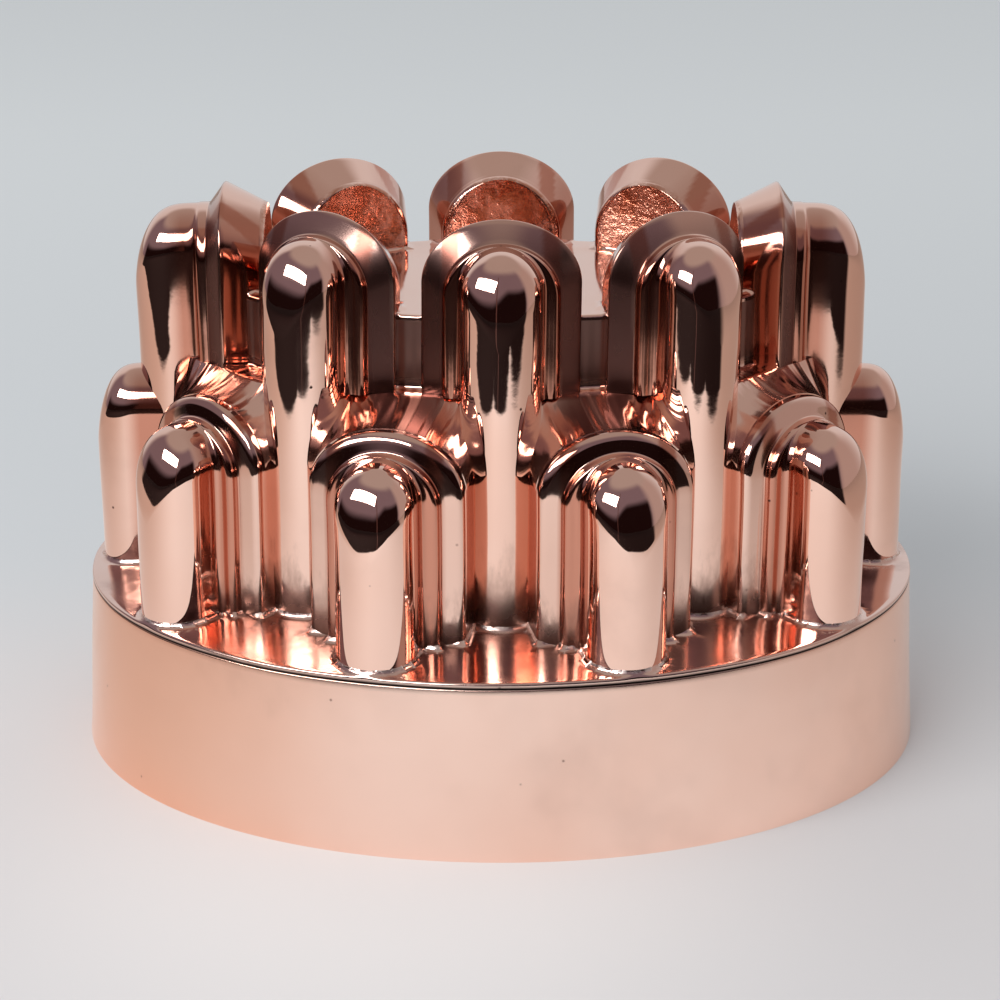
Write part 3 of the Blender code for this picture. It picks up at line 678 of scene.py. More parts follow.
def free_edges(triangles, upper, lower):
    """Upright faces along the edges that only one triangle of a patch has."""
    ahead = np.vstack([triangles[:, [0, 1]], triangles[:, [1, 2]], triangles[:, [2, 0]]])
    size = int(ahead.max()) + 1
    key, back = ahead[:, 0] * size + ahead[:, 1], ahead[:, 1] * size + ahead[:, 0]
    a, b = ahead[~np.isin(key, back)].T
    return np.stack([upper + b, upper + a, lower + a, lower + b], axis=-1)


def plate(name, rims, holes, extra, top, under, rib=None):
    """A sheet over the plan between the first and the last rim, less the holes.

    top and under give heights at plan points. rib is (outer rim, inner rim, height) of a
    flange that hangs below.
    """
    outlines = rims + holes
    starts = np.cumsum([0] + [len(outline) for outline in outlines])
    loops = [list(range(starts[i], starts[i + 1])) for i in range(len(outlines))]
    corners = np.vstack(outlines + [extra])
    points, _, triangles, _, _, origins = delaunay_2d_cdt(
        [Vector(corner) for corner in corners.tolist()], [], loops, 1, WELD)
    plan = np.array([tuple(point) for point in points])
    inner, first_hole = len(rims) - 1, len(rims)
    kept = [(tuple(tri), set(origin)) for tri, origin in zip(triangles, origins)
            if 0 in origin and (inner not in origin or inner == 0) and max(origin) < first_hole]
    count = len(plan)
    upper = np.array([tri for tri, _ in kept])
    levels = [np.column_stack([plan, top(plan)]), np.column_stack([plan, under(plan)])]
    lower = upper[:, ::-1] + count
    walls = [free_edges(upper, 0, count)]
    if rib:
        outer_rim, inner_rim, low = rib
        ribbed = np.array([outer_rim in origin and inner_rim not in origin for _, origin in kept])
        levels.append(np.column_stack([plan, np.full(count, low)]))
        lower[ribbed] += count
        walls.append(free_edges(upper[ribbed], count, 2 * count))
    walls = np.vstack(walls)
    inside = np.repeat([0, 1, 0], [len(upper), len(lower), len(walls)])
    item = new_piece(name, np.concatenate(levels),
                     upper.tolist() + lower.tolist() + walls.tolist(), inside)
    keep_largest(item)
    return item

# %% Ovals and outlines
HALVINGS = 30
SHORTEST_STEP = 0.02 * MM


def oval(long_half, short_half, count):
    """Points of an oval at even angles."""
    angles = (np.arange(count) + 0.5) * (2 * math.pi / count)
    return np.stack([long_half * np.cos(angles), short_half * np.sin(angles)], axis=-1)


def oval_share(plan, long_half, short_half):
    """0 at an oval's middle and 1 on its edge: the squares of x and y over its halves."""
    return (plan[:, 0] / long_half) ** 2 + (plan[:, 1] / short_half) ** 2


def inward_distance(plan, long_half, short_half):
    """How far plan points lie inside an oval's edge, found by halving."""
    low, high = np.zeros(len(plan)), np.full(len(plan), short_half - WELD)
    for _ in range(HALVINGS):
        middle = 0.5 * (low + high)
        inside = oval_share(plan, long_half - middle, short_half - middle) < 1.0
        low, high = np.where(inside, middle, low), np.where(inside, high, middle)
    return low


def outline_of(turret, inset, column):
    """Plan outline of a turret at one column of its grid, from the back round the front."""
    grid = turret_grid(turret, inset)
    outline = np.concatenate([grid[::-1, column, :2], grid[:, -1 - column, :2]])
    step = np.hypot(*(outline - np.roll(outline, 1, axis=0)).T)
    return outline[step > SHORTEST_STEP]

# %% The ledge
LEDGE_STEPS = 420
EDGE_RIMS, FLANGE_RIMS = (0.0, 0.03, 0.12, 0.25, 0.45), (1.2, 2.1)
COVE_RIMS = (3.5, 5.5, 8.0, 11.0, 15.0, 20.0, 26.0)
LEDGE_RIMS = np.array(EDGE_RIMS + FLANGE_RIMS + COVE_RIMS) * MM
LEDGE_FOOT_RIMS, LEDGE_SPACING = np.array([0.03, 0.12, 0.28, 0.5, 0.85, 1.3]) * MM, 0.5 * MM


def ledge_height(plan):
    """The cove that rises inwards from a rounded edge, with fillets at the feet."""
    away = inward_distance(plan, SHOULDER_LONG, SHOULDER_SHORT)
    edge = fillet(away, SHOULDER_EDGE_ROUND)
    cove = SHOULDER_RISE * np.clip(away / SHOULDER_WIDTH, 0.0, 1.0) ** SHOULDER_COVE
    feet = nearest_distance(plan, every_turret, foot_distance)
    return SHOULDER_UNDER + SHEET + cove - edge + fillet(feet, LEDGE_FILLET)


def ledge_piece():
    """The ledge, with its rounded rim, its feet fillets and the flange inside the skirt."""
    rims = [oval(SHOULDER_LONG - d, SHOULDER_SHORT - d, LEDGE_STEPS) for d in LEDGE_RIMS]
    holes = [outline_of(turret, SHEET / 2, 0) for turret in every_turret]
    skins = [outline_of(turret, 0.0, 0) for turret in every_turret]
    extra = spread_points(skins, LEDGE_FOOT_RIMS, LEDGE_SPACING)
    feet = nearest_distance(extra, every_turret, foot_distance)
    away = inward_distance(extra, SHOULDER_LONG, SHOULDER_SHORT)
    extra = extra[(feet > SHORTEST_STEP) & (away > 0.05 * MM) & (away < SHOULDER_WIDTH - 0.5 * MM)]
    return plate("ledge_sheet", rims, holes, extra, ledge_height,
                 lambda plan: np.maximum(ledge_height(plan) - SHEET, SHOULDER_UNDER),
                 rib=(len(EDGE_RIMS), len(EDGE_RIMS) + 1, SHOULDER_UNDER - SHOULDER_FLANGE))


pieces["shoulder_ring"] = ledge_piece()
print("ledge:", len(pieces["shoulder_ring"].data.polygons), "faces")

# %% The crown plate
DECK_STEPS, DECK_FIELD, DECK_PITCH = 360, (50, 27), 2.5
DECK_EDGE_SHARE, DECK_FIELD_SHARE = 0.985, 0.9
DECK_RIMS = np.array([0.0, 0.04, 0.15, 0.35, 0.6, 1.5, 4.0]) * MM
VAULT_RIMS, VAULT_SPACING = np.array([0.03, 0.15, 0.4, 0.9]) * MM, 0.6 * MM
# The plate ends at this line of a turret's grid, a little way in under the vault's wall.
PLATE_COLUMN = LEG_STEPS + 5


def crown_height(plan):
    """A flat plate with a rounded rim, turned up a little at the vaults."""
    away = inward_distance(plan, DECK_LONG, DECK_SHORT)
    vaults = nearest_distance(plan, upper_turrets, vault_distance)
    return DECK_TOP - fillet(away, DECK_EDGE_ROUND) + fillet(vaults, DECK_FILLET)


def crown_piece():
    """The crown plate, cut out round the vaults of the upper turrets."""
    rims = [oval(DECK_LONG - d, DECK_SHORT - d, DECK_STEPS) for d in DECK_RIMS]
    holes = [outline_of(turret, SHEET / 2, PLATE_COLUMN) for turret in upper_turrets]
    skins = [outline_of(turret, 0.0, PLATE_COLUMN) for turret in upper_turrets]
    extra = spread_points(skins, VAULT_RIMS, VAULT_SPACING)
    vaults = nearest_distance(extra, upper_turrets, vault_distance)
    inside = oval_share(extra, DECK_LONG, DECK_SHORT) < DECK_EDGE_SHARE
    x, y = np.meshgrid(*(np.arange(-far, far + 1, DECK_PITCH) * MM for far in DECK_FIELD))
    middle = np.stack([x.ravel(), y.ravel()], axis=-1)
    middle = middle[oval_share(middle, DECK_LONG, DECK_SHORT) < DECK_FIELD_SHARE]
    extra = np.vstack([extra[(vaults > SHORTEST_STEP) & inside], middle])
    return plate("crown_sheet", rims[:1], holes, np.vstack(rims[1:] + [extra]), crown_height,
                 lambda plan: crown_height(plan) - SHEET)


pieces["crown_plate"] = crown_piece()
print("crown plate:", len(pieces["crown_plate"].data.polygons), "faces")

# %% [markdown]
# ## Saddles
#
# Behind each lower collar a strip of sheet runs in between two upper turrets and turns up
# as the wall below the crown plate. It starts flush on the collar's arched roof and
# flattens towards its fold, which makes a shallow cove that catches the light.

# %% The saddles
SADDLE_COLUMNS, SADDLE_ROWS, FOLD_ROWS, WALL_ROWS = 57, 21, 5, 8


def saddle_grids(turret):
    """Top and under grids: from the collar's arch to a straight fold, then the wall.

    z goes from the arch to its top with rise ** SADDLE_POWER, where rise reaches 1 below
    the faces of the upper collars, and never goes below the roof.
    """
    station, top_share = ((SADDLE_SIDE_STATION, SADDLE_SIDE_TOP) if turret.is_side
                          else (SADDLE_FRONT_STATION, SADDLE_FRONT_TOP))
    notch = math.radians(station)
    side_x, side_y = np.sign(turret.base)
    foot = np.array([side_x * DECK_LONG * math.sin(notch), side_y * DECK_SHORT * math.cos(notch)])
    inward = -foot / np.array([DECK_LONG, DECK_SHORT]) ** 2
    inward /= np.hypot(*inward)
    across = np.array([-inward[1], inward[0]])
    across *= np.sign(across @ turret.along)
    angles = np.radians(np.linspace(-SADDLE_ARC, SADDLE_ARC, SADDLE_COLUMNS))
    t = (turret.half + SADDLE_BULGE * np.cos(angles)) * np.sin(angles)
    start = turret.plan(t, np.full(len(t), -SADDLE_START))
    end = foot + t[:, None] * across

    ahead, level = np.linspace(0.0, 1.0, SADDLE_ROWS + 1)[:-1], np.zeros(SADDLE_ROWS)
    share = np.concatenate([ahead, np.ones(FOLD_ROWS)])[:, None]
    turn = np.concatenate([level, np.linspace(0.0, math.pi / 2, FOLD_ROWS)])[:, None]
    back = np.where(share[..., None] < 1, 0.0, SADDLE_FOLD * (1 - np.sin(turn))[..., None])
    run = start + (end - start) * share[..., None] - back * inward
    arch = turret.crown + SADDLE_LIFT - COLLAR_DROP * (1 - np.cos(angles))
    rise = np.minimum(share / top_share, 1.0)
    z = arch + (COLLAR_FOOT - arch) * rise ** SADDLE_POWER + SADDLE_FOLD * (1 - np.cos(turn))
    local, depth = turret.local(run)
    reach = np.clip(1 - (local / turret.half) ** 2, 0.0, 1.0)
    roof = turret.crown - COLLAR_DROP * (1 - np.sqrt(reach)) + SADDLE_LIFT
    over = (np.abs(local) < turret.half) & (depth > -turret.depth - SHEET)
    z = np.where(over, np.maximum(z, roof), z)

    wall = np.linspace(0.0, 1.0, WALL_ROWS + 1)[1:, None]
    up = z[-1:] + (DECK_UNDER - SADDLE_PLAY - z[-1:]) * wall
    plan = np.concatenate([run, np.repeat(run[-1:], WALL_ROWS, axis=0)])
    top = np.concatenate([plan, np.vstack([z, up])[..., None]], axis=-1)
    upright = np.concatenate([level, np.sin(turn[SADDLE_ROWS:, 0]), np.ones(WALL_ROWS)])[:, None]
    under = top.copy()
    under[..., :2] += SHEET * inward * upright[..., None]
    under[..., 2] -= SHEET * (1 - upright)
    return top, under


for turret in lower_turrets:
    if turret.half:
        name = turret.name.replace("lower_turret", "saddle")
        item = sheet(name + "_sheet", *saddle_grids(turret), open_ends=(0, -1))
        pieces[name] = cut_at_neighbours(item, turret)
print("with the saddles:", len(pieces), "sheets")

# %% [markdown]
# ## A hand-made object
#
# Hammered and hand-soldered copper is never quite straight. One smooth field of small
# shifts moves every piece together, so the seams stay closed while long reflections
# bend a little, as they do on the real mould.

# %% The field of small shifts
# Wave length and size in millimetres, and the height below which the foot stays flat
SHIFT_WAVES, WAVES_EACH, STILL_HEIGHT = ((34.0, 0.04), (17.0, 0.012), (9.0, 0.003)), 6, 6.0 * MM


def shifted(points):
    """Points moved by a sum of soft waves, each along its own direction."""
    rng = np.random.default_rng(7)
    moved = np.zeros_like(points)
    for length, size in SHIFT_WAVES:
        for _ in range(WAVES_EACH):
            heading = rng.normal(size=3)
            heading *= 2 * math.pi / (length * MM * np.linalg.norm(heading))
            phase = np.sin(points @ heading + rng.uniform(0, 2 * math.pi))
            moved += phase[:, None] * rng.normal(size=3) * size * MM
    stay = np.clip(points[:, 2] / STILL_HEIGHT, 0.0, 1.0)[:, None]
    return points + moved * stay * (2 - stay)


for item in pieces.values():
    flat = np.empty(len(item.data.vertices) * 3)
    item.data.vertices.foreach_get("co", flat)
    item.data.vertices.foreach_set("co", shifted(flat.reshape(-1, 3)).ravel())
    item.data.update()
print("shifted", len(pieces), "pieces")

# %% [markdown]
# ## Marks that follow the shape
#
# Some marks belong to a place on a piece: the rough inner walls of the vaults that no
# polishing wheel can reach, the solder along the feet, the black in the seam, and painted
# shade in the grooves beside the columns, on the collars' faces and round the feet. Each
# vertex keeps a number for them, worked out from where it stands and which way it faces.

# %% Marks kept at the vertices
# How much painted shade the upper collar bands, at the top and towards the feet, the lower collar
# bands and the saddles' walls take.
UPPER_BAND_SHADE, LOWER_BAND_SHADE, SADDLE_WALL_SHADE = (0.30, 0.70), 0.12, 0.9
LAP_HALF = 8.0 * MM


def vertex_table(item, name):
    """Points or normals of a piece's vertices as an array."""
    source = item.data.vertices if name == "co" else item.data.vertex_normals
    flat = np.empty(len(source) * 3)
    source.foreach_get("co" if name == "co" else "vector", flat)
    return flat.reshape(-1, 3)


def keep_mark(item, name, values):
    """Stores one number for each vertex under a name that materials can read."""
    mark = item.data.attributes.new(name, "FLOAT", "POINT")
    mark.data.foreach_set("value", np.clip(values, 0.0, 1.0).astype(np.float32))


def step_between(values, low, high):
    """0 at low, 1 at high and a straight rise between; low may exceed high."""
    return np.clip((values - low) / (high - low), 0.0, 1.0)


def turret_marks(turret, points, normals):
    """Inner wall of one turret, and where it takes painted shade: groove, collar band, foot.

    The wall closes the vault at its back. The groove is the side of the column and the
    ring behind the head, and the collar's side behind its lip; it takes painted shade.
    The band is the collar's flat face round the ring, with painted shade that is darker
    towards its feet. Painted shade round the foot goes on all but the fronts of the lower
    columns.
    """
    t, n = turret.local(points[:, :2])
    ring_half, across = turret.radius + RING_STEP, np.abs(t)
    wall = step_between(-n, VAULT_DEPTH - 1.0 * MM, VAULT_DEPTH - 0.4 * MM) * turret.is_upper
    behind = step_between(n, turret.centre + 1.0 * MM, turret.centre - 2.0 * MM)
    sideways = step_between(np.abs(normals[:, :2] @ turret.along), 0.3, 0.9)
    inside = step_between(across, ring_half + 0.5 * MM, ring_half)
    beside = inside * np.maximum(sideways, step_between(across, turret.radius - 0.3 * MM,
                                                        turret.radius + 0.5 * MM))
    # The groove: painted shade on faces that turn sideways behind the head.
    groove = behind * np.maximum(beside, sideways * step_between(n, -0.5 * MM, -2.0 * MM))
    # The band: painted shade on the collar's face, darker towards its feet.
    flat = step_between(n, -CREST_DEPTH - 0.3 * MM, -CREST_DEPTH + 0.2 * MM)
    band = flat * step_between(n, RING_BACK + 0.1 * MM, RING_BACK - 0.1 * MM) * (turret.half > 0)
    low = step_between(points[:, 2], turret.crown - 1.0 * MM, turret.crown - 10.0 * MM)
    band = band * (UPPER_BAND_SHADE[0] + UPPER_BAND_SHADE[1] * low if turret.is_upper else LOWER_BAND_SHADE)
    # Painted shade round the foot: on all of an upper turret, behind the front of a lower column.
    shelter = np.ones(len(n)) if turret.is_upper else step_between(n, 7.0 * MM, 2.5 * MM)
    return {"wall": wall, "groove": groove * (1 - wall), "band": band * (1 - wall),
            "shelter": shelter}


def piece_marks(name, points, normals):
    """All marks of a piece by name; a mark that it lacks is 0 everywhere."""
    marks = {title: np.zeros(len(points)) for title in (
        "wall", "groove", "band", "shelter", "solder", "seam", "fan")}
    if name in by_name:
        marks.update(turret_marks(by_name[name], points, normals))
    elif name == "shoulder_ring":
        feet = nearest_distance(points[:, :2], every_turret, foot_distance)
        marks["solder"] = step_between(feet, 2.0 * MM, 0.0)
        marks["seam"] = step_between(points[:, 2], SHOULDER_UNDER + 0.30 * MM,
                                     SHOULDER_UNDER + 0.16 * MM)
    elif name.startswith("saddle"):
        turret = by_name[name.replace("saddle", "lower_turret")]
        # Painted shade on the saddle's wall, above the collars' feet.
        marks["fan"] = 0.5 + 0.5 * turret.local(points[:, :2])[0] / turret.half
        marks["band"] = SADDLE_WALL_SHADE * step_between(points[:, 2], COLLAR_FOOT + 0.5 * MM,
                                                   COLLAR_FOOT + 2.5 * MM)
    elif name == "skirt_band":
        seam = step_between(points[:, 2], SKIRT_HEIGHT - 0.22 * MM, SKIRT_HEIGHT - 0.08 * MM)
        at_lap = (points[:, 1] > 0) & (np.abs(points[:, 0]) < LAP_HALF)
        marks["seam"] = np.where(at_lap, 0.0, seam)
    return marks


by_name = {turret.name: turret for turret in every_turret}
for name, item in pieces.items():
    points, normals = vertex_table(item, "co"), vertex_table(item, "normal")
    for title, values in piece_marks(name, points, normals).items():
        keep_mark(item, title, values)
print("marks kept on", len(pieces), "pieces")

# %% [markdown]
# ## Finishes
#
# Polished copper is a mirror with a warm tint. What makes it real is small: soft waves
# left by the hammer, hair scratches from polishing, a few pits, and brown tarnish in
# patches, with painted shade round the feet. Each effect is a node group, placed in
# every copper finish with its own strength.


# %% Helpers for node groups
def new_group(name, inputs, outputs):
    """A shader node group with named numbers in and out, and its end nodes."""
    group = bpy.data.node_groups.new(name, "ShaderNodeTree")
    for title, value in inputs:
        socket = group.interface.new_socket(title, in_out="INPUT", socket_type="NodeSocketFloat")
        socket.default_value = value
    for title in outputs:
        group.interface.new_socket(title, in_out="OUTPUT", socket_type="NodeSocketFloat")
    return group, group.nodes.new("NodeGroupInput"), group.nodes.new("NodeGroupOutput")


def wire(tree, kind, settings=None, **inputs):
    """A node with settings and inputs; an input is a number, a colour or a socket.

    An input is named after its socket, with _ for a space, or _0, _1 by its place.
    """
    node = tree.nodes.new("ShaderNode" + kind)
    for key, value in (settings or {}).items():
        setattr(node, key, value)
    for key, value in inputs.items():
        place = int(key[1:]) if key[1:].isdigit() else key.replace("_", " ")
        if isinstance(value, bpy.types.NodeSocket):
            tree.links.new(value, node.inputs[place])
        else:
            node.inputs[place].default_value = value
    return node


def math_node(tree, operation, *values):
    """One step of arithmetic between sockets or numbers."""
    inputs = {f"_{place}": value for place, value in enumerate(values)}
    return wire(tree, "Math", {"operation": operation}, **inputs).outputs[0]


def ramp(tree, value, low, high, to_low=0.0, to_high=1.0):
    """A smooth step of a value from one number to another."""
    return wire(tree, "MapRange", {"interpolation_type": "SMOOTHSTEP"}, Value=value, From_Min=low,
                From_Max=high, To_Min=to_low, To_Max=to_high).outputs["Result"]


def blend_colour(tree, share, first, second):
    """A mix of two colours by a share."""
    return wire(tree, "Mix", {"data_type": "RGBA", "blend_type": "MIX"},
                _0=share, _6=first, _7=second).outputs[2]


def object_coords(tree):
    """Object coordinates, which stay with the metal."""
    return wire(tree, "TexCoord").outputs["Object"]


def object_noise(tree, scale, detail=2.0, stretch=None, rough=0.5):
    """Noise on Object coordinates, longer along an axis where stretch is small."""
    coords = object_coords(tree)
    if stretch:
        coords = wire(tree, "Mapping", Vector=coords, Scale=stretch).outputs[0]
    return wire(tree, "TexNoise", Vector=coords, Scale=scale, Detail=detail,
                Roughness=rough).outputs["Fac"]

# %% Hammer waves and polishing marks
# Heights in metres of the hammer's waves, finer ripples, upright draw lines and pits
WAVE_HEIGHT, RIPPLE_HEIGHT, LINE_HEIGHT, PIT_DEPTH = 2.4e-5, 5.0e-6, 0.35e-6, 6.0e-6


def make_relief_group():
    """Height in metres: hammer waves, ripples, upright draw lines and pits."""
    group, inputs, outputs = new_group(
        "hammer_and_polish", [("Waves", 1.0), ("Ripples", 1.0), ("Pits", 1.0)],
        ["Height", "Pit Mask"])
    waves = math_node(group, "MULTIPLY", object_noise(group, 110.0, 1.0), WAVE_HEIGHT)
    ripples = math_node(group, "MULTIPLY", object_noise(group, 330.0, 3.0), RIPPLE_HEIGHT)
    lines = math_node(group, "MULTIPLY",
                      object_noise(group, 900.0, 2.0, stretch=(1.0, 1.0, 0.04)), LINE_HEIGHT)
    spots = wire(group, "TexVoronoi", {"feature": "F1"}, Scale=260.0, Vector=object_coords(group))
    sparse = ramp(group, wire(group, "SeparateColor", Color=spots.outputs["Color"]).outputs[0],
                  0.90, 0.93)
    pit = math_node(group, "MULTIPLY", ramp(group, spots.outputs["Distance"], 0.10, 0.03), sparse)
    pit = math_node(group, "MULTIPLY", pit, inputs.outputs["Pits"])
    total = math_node(group, "MULTIPLY", waves, inputs.outputs["Waves"])
    total = math_node(group, "MULTIPLY_ADD", ripples, inputs.outputs["Ripples"], total)
    total = math_node(group, "ADD", lines, total)
    total = math_node(group, "MULTIPLY_ADD", pit, -PIT_DEPTH, total)
    group.links.new(total, outputs.inputs["Height"])
    group.links.new(pit, outputs.inputs["Pit Mask"])
    return group


relief_group = make_relief_group()
print("made", relief_group.name)

# %% Tarnish and painted shade round the feet
# Height from which the painted shade round the feet fades upwards
FOOT_SHADE_HEIGHT = 0.036


def make_tarnish_group():
    """Where painted shade sits above the ledge round the feet, and brown tarnish in patches."""
    group, inputs, outputs = new_group(
        "tarnish", [("Spread", 0.008), ("Foot Amount", 1.0), ("Patch Amount", 0.15),
                    ("Shelter", 0.0)], ["Mask", "Tone"])
    z = wire(group, "SeparateXYZ", Vector=object_coords(group)).outputs["Z"]
    rise = math_node(group, "SUBTRACT", z, FOOT_SHADE_HEIGHT)
    ragged = object_noise(group, 260.0, 4.0, stretch=(1.0, 1.0, 0.35), rough=0.65)
    reach = math_node(group, "MULTIPLY", inputs.outputs["Spread"],
                      math_node(group, "MULTIPLY_ADD", ragged, 2.4, -0.35))
    share = math_node(group, "DIVIDE", rise, math_node(group, "MAXIMUM", reach, 0.0004))
    # Painted shade round the feet: dark at the ledge, fading upwards within the spread.
    foot = math_node(group, "MULTIPLY", ramp(group, share, 1.5, -0.3),
                     inputs.outputs["Foot Amount"])
    foot = math_node(group, "MULTIPLY", foot, inputs.outputs["Shelter"])
    cloud = ramp(group, object_noise(group, 42.0, 5.0, rough=0.6), 0.50, 0.78)
    patch = math_node(group, "MULTIPLY", cloud, inputs.outputs["Patch Amount"])
    mask = math_node(group, "MAXIMUM", foot, patch)
    group.links.new(mask, outputs.inputs["Mask"])
    group.links.new(object_noise(group, 700.0, 3.0), outputs.inputs["Tone"])
    return group


tarnish_and_foot_shade_group = make_tarnish_group()
print("made", tarnish_and_foot_shade_group.name)

# %% The copper finishes
COPPER, SKIRT_COPPER, LEDGE_COPPER = (0.955, 0.640, 0.535), (0.95, 0.66, 0.56), (0.90, 0.65, 0.57)
COPPER_CLOUD = (0.97, 0.93, 0.91)
# The skirt's ends, the grooves and the collar bands take painted shade in these colours; the
# tarnish colours also paint shade round the feet.
SIDE_SHADE, GROOVE_SHADE, WALL_COPPER = (0.82, 0.43, 0.29), (0.52, 0.17, 0.10), (0.50, 0.17, 0.08)
BAND_SHADE, TARNISH_AND_FOOT_SHADE, TARNISH_AND_FOOT_SHADE_LIGHT = (0.11, 0.04, 0.035), (0.13, 0.065, 0.052), (0.26, 0.16, 0.13)
SOLDER, PIT_BROWN, SEAM_BLACK = (0.93, 0.80, 0.74), (0.10, 0.05, 0.04), (0.012, 0.006, 0.005)
# How much rougher each mark is than the polished metal
MARK_ROUGHNESS = {"tarnish": 0.30, "wall": 0.08, "groove": 0.06, "band": 0.24, "solder": 0.20,
                  "seam": 0.40}
BEATEN_HEIGHT, SOLDER_HEIGHT = 2.6e-4, 2.0e-5


def rgba(colour):
    """A colour with full opacity, as colour sockets take it."""
    return (*colour, 1.0)


def mark(tree, name):
    """The number kept at the vertices under a name."""
    return wire(tree, "Attribute", {"attribute_name": name}).outputs["Fac"]


def new_metal(name):
    """A material of bare metal, with its node tree."""
    material = bpy.data.materials.new(name)
    material.use_nodes = True
    material.node_tree.nodes["Principled BSDF"].inputs["Metallic"].default_value = 1.0
    return material, material.node_tree


def finish_metal(tree, colour, gloss, height, strength=1.0):
    """Joins colour, roughness and relief to the metal's shader."""
    shader = tree.nodes["Principled BSDF"]
    bump = wire(tree, "Bump", Strength=strength, Distance=1.0, Height=height)
    for socket, title in ((colour, "Base Color"), (gloss, "Roughness"),
                          (bump.outputs["Normal"], "Normal")):
        tree.links.new(socket, shader.inputs[title])


def copper_colour(tree, tint, sides, marks, tarnish_and_shade, pits, mottle):
    """The metal's tint, then each mark's colour laid over it, painted shade among them."""
    cloud = ramp(tree, object_noise(tree, 30.0, 3.0), 0.35, 0.7)
    colour = blend_colour(tree, cloud, rgba(tint), rgba(np.multiply(tint, COPPER_CLOUD)))
    # Painted shade on the skirt's ends: full at the left, half at the right.
    if sides:
        x = wire(tree, "SeparateXYZ", Vector=object_coords(tree)).outputs["X"]
        ends = math_node(tree, "MULTIPLY_ADD", ramp(tree, x, 0.050, 0.086), 0.5,
                         ramp(tree, x, -0.015, -0.075))
        colour = blend_colour(tree, math_node(tree, "MULTIPLY", ends, sides), colour,
                              rgba(SIDE_SHADE))
    tarnish_and_shade_tone = blend_colour(tree, tarnish_and_shade.outputs["Tone"], rgba(TARNISH_AND_FOOT_SHADE), rgba(TARNISH_AND_FOOT_SHADE_LIGHT))
    dull = math_node(tree, "MULTIPLY", marks["wall"], ramp(tree, mottle, 0.42, 0.58))
    # The groove and band marks, and the foot part of the tarnish mask, lay painted shade.
    for share, amount, over in ((marks["groove"], 0.80, rgba(GROOVE_SHADE)),
                                (marks["band"], 0.95, rgba(BAND_SHADE)),
                                (marks["tarnish"], 1.0, tarnish_and_shade_tone),
                                (marks["solder"], 1.0, rgba(SOLDER)),
                                (dull, 0.75, rgba(WALL_COPPER)),
                                (pits, 1.0, rgba(PIT_BROWN)),
                                (marks["seam"], 1.0, rgba(SEAM_BLACK))):
        colour = blend_colour(tree, math_node(tree, "MULTIPLY", share, amount), colour, over)
    return colour


def make_copper(slot, tint=COPPER, rough=(0.012, 0.05), waves=1.0, ripples=1.0, pits=1.0,
                foot=0.0, spread=0.008, patches=0.12, sides=0.0, creases=0.0):
    """Polished copper for one slot of the record: tint, gloss, relief, tarnish and painted shade.
    """
    material, tree = new_metal(slot)
    relief = wire(tree, "Group", {"node_tree": relief_group}, Waves=waves, Ripples=ripples,
                  Pits=pits)
    tarnish_and_shade = wire(tree, "Group", {"node_tree": tarnish_and_foot_shade_group}, Spread=spread, Foot_Amount=foot,
                 Patch_Amount=patches, Shelter=mark(tree, "shelter"))
    marks = {name: mark(tree, name) for name in ("wall", "groove", "band", "seam")}
    marks["tarnish"] = tarnish_and_shade.outputs["Mask"]
    marks["solder"] = math_node(tree, "MULTIPLY", ramp(tree, mark(tree, "solder"), 0.80, 0.97),
                                ramp(tree, object_noise(tree, 600.0, 3.0), 0.42, 0.56))
    mottle = object_noise(tree, 170.0, 5.0, rough=0.7)
    colour = copper_colour(tree, tint, sides, marks, tarnish_and_shade, relief.outputs["Pit Mask"], mottle)
    gloss = ramp(tree, object_noise(tree, 75.0, 3.0), 0.3, 0.75, *rough)
    for name, extra in MARK_ROUGHNESS.items():
        gloss = math_node(tree, "MULTIPLY_ADD", marks[name], extra, gloss)
    beaten = math_node(tree, "MULTIPLY", mottle, BEATEN_HEIGHT)
    height = math_node(tree, "MULTIPLY_ADD", beaten, marks["wall"], relief.outputs["Height"])
    height = math_node(tree, "MULTIPLY_ADD", marks["solder"], SOLDER_HEIGHT, height)
    if creases:
        folds = wire(tree, "TexNoise", {"noise_dimensions": "1D"}, W=mark(tree, "fan"), Scale=8.0,
                     Detail=1.0).outputs["Fac"]
        height = math_node(tree, "MULTIPLY_ADD", folds, creases, height)
    finish_metal(tree, colour, gloss, height)
    return material


finishes = {slot: make_copper(slot, **looks) for slot, looks in {
    # sides sets the painted shade on the skirt's ends
    "skirt_copper": dict(tint=SKIRT_COPPER, rough=(0.17, 0.25), waves=1.2, patches=0.10, pits=0.6,
                         sides=0.8),
    "shoulder_copper": dict(tint=LEDGE_COPPER, rough=(0.10, 0.20), waves=2.5, ripples=3.0,
                            patches=0.65),
    # foot sets the painted shade round the turrets' feet
    "lower_turret_copper": dict(foot=1.0, spread=0.009),
    "upper_turret_copper": dict(foot=1.0, spread=0.012),
    "saddle_copper": dict(rough=(0.09, 0.20), waves=2.0, ripples=2.0, patches=0.10,
                          creases=8.0e-4),
    "crown_plate_copper": dict(rough=(0.06, 0.14), waves=1.5),
}.items()}
print("copper finishes:", sorted(finishes))

# %% The tinned inside
TIN_DARK, TIN_LIGHT, TIN_WORN = (0.42, 0.41, 0.40), (0.68, 0.67, 0.65), (0.62, 0.42, 0.33)
STREAK_HEIGHT = 2.0e-5


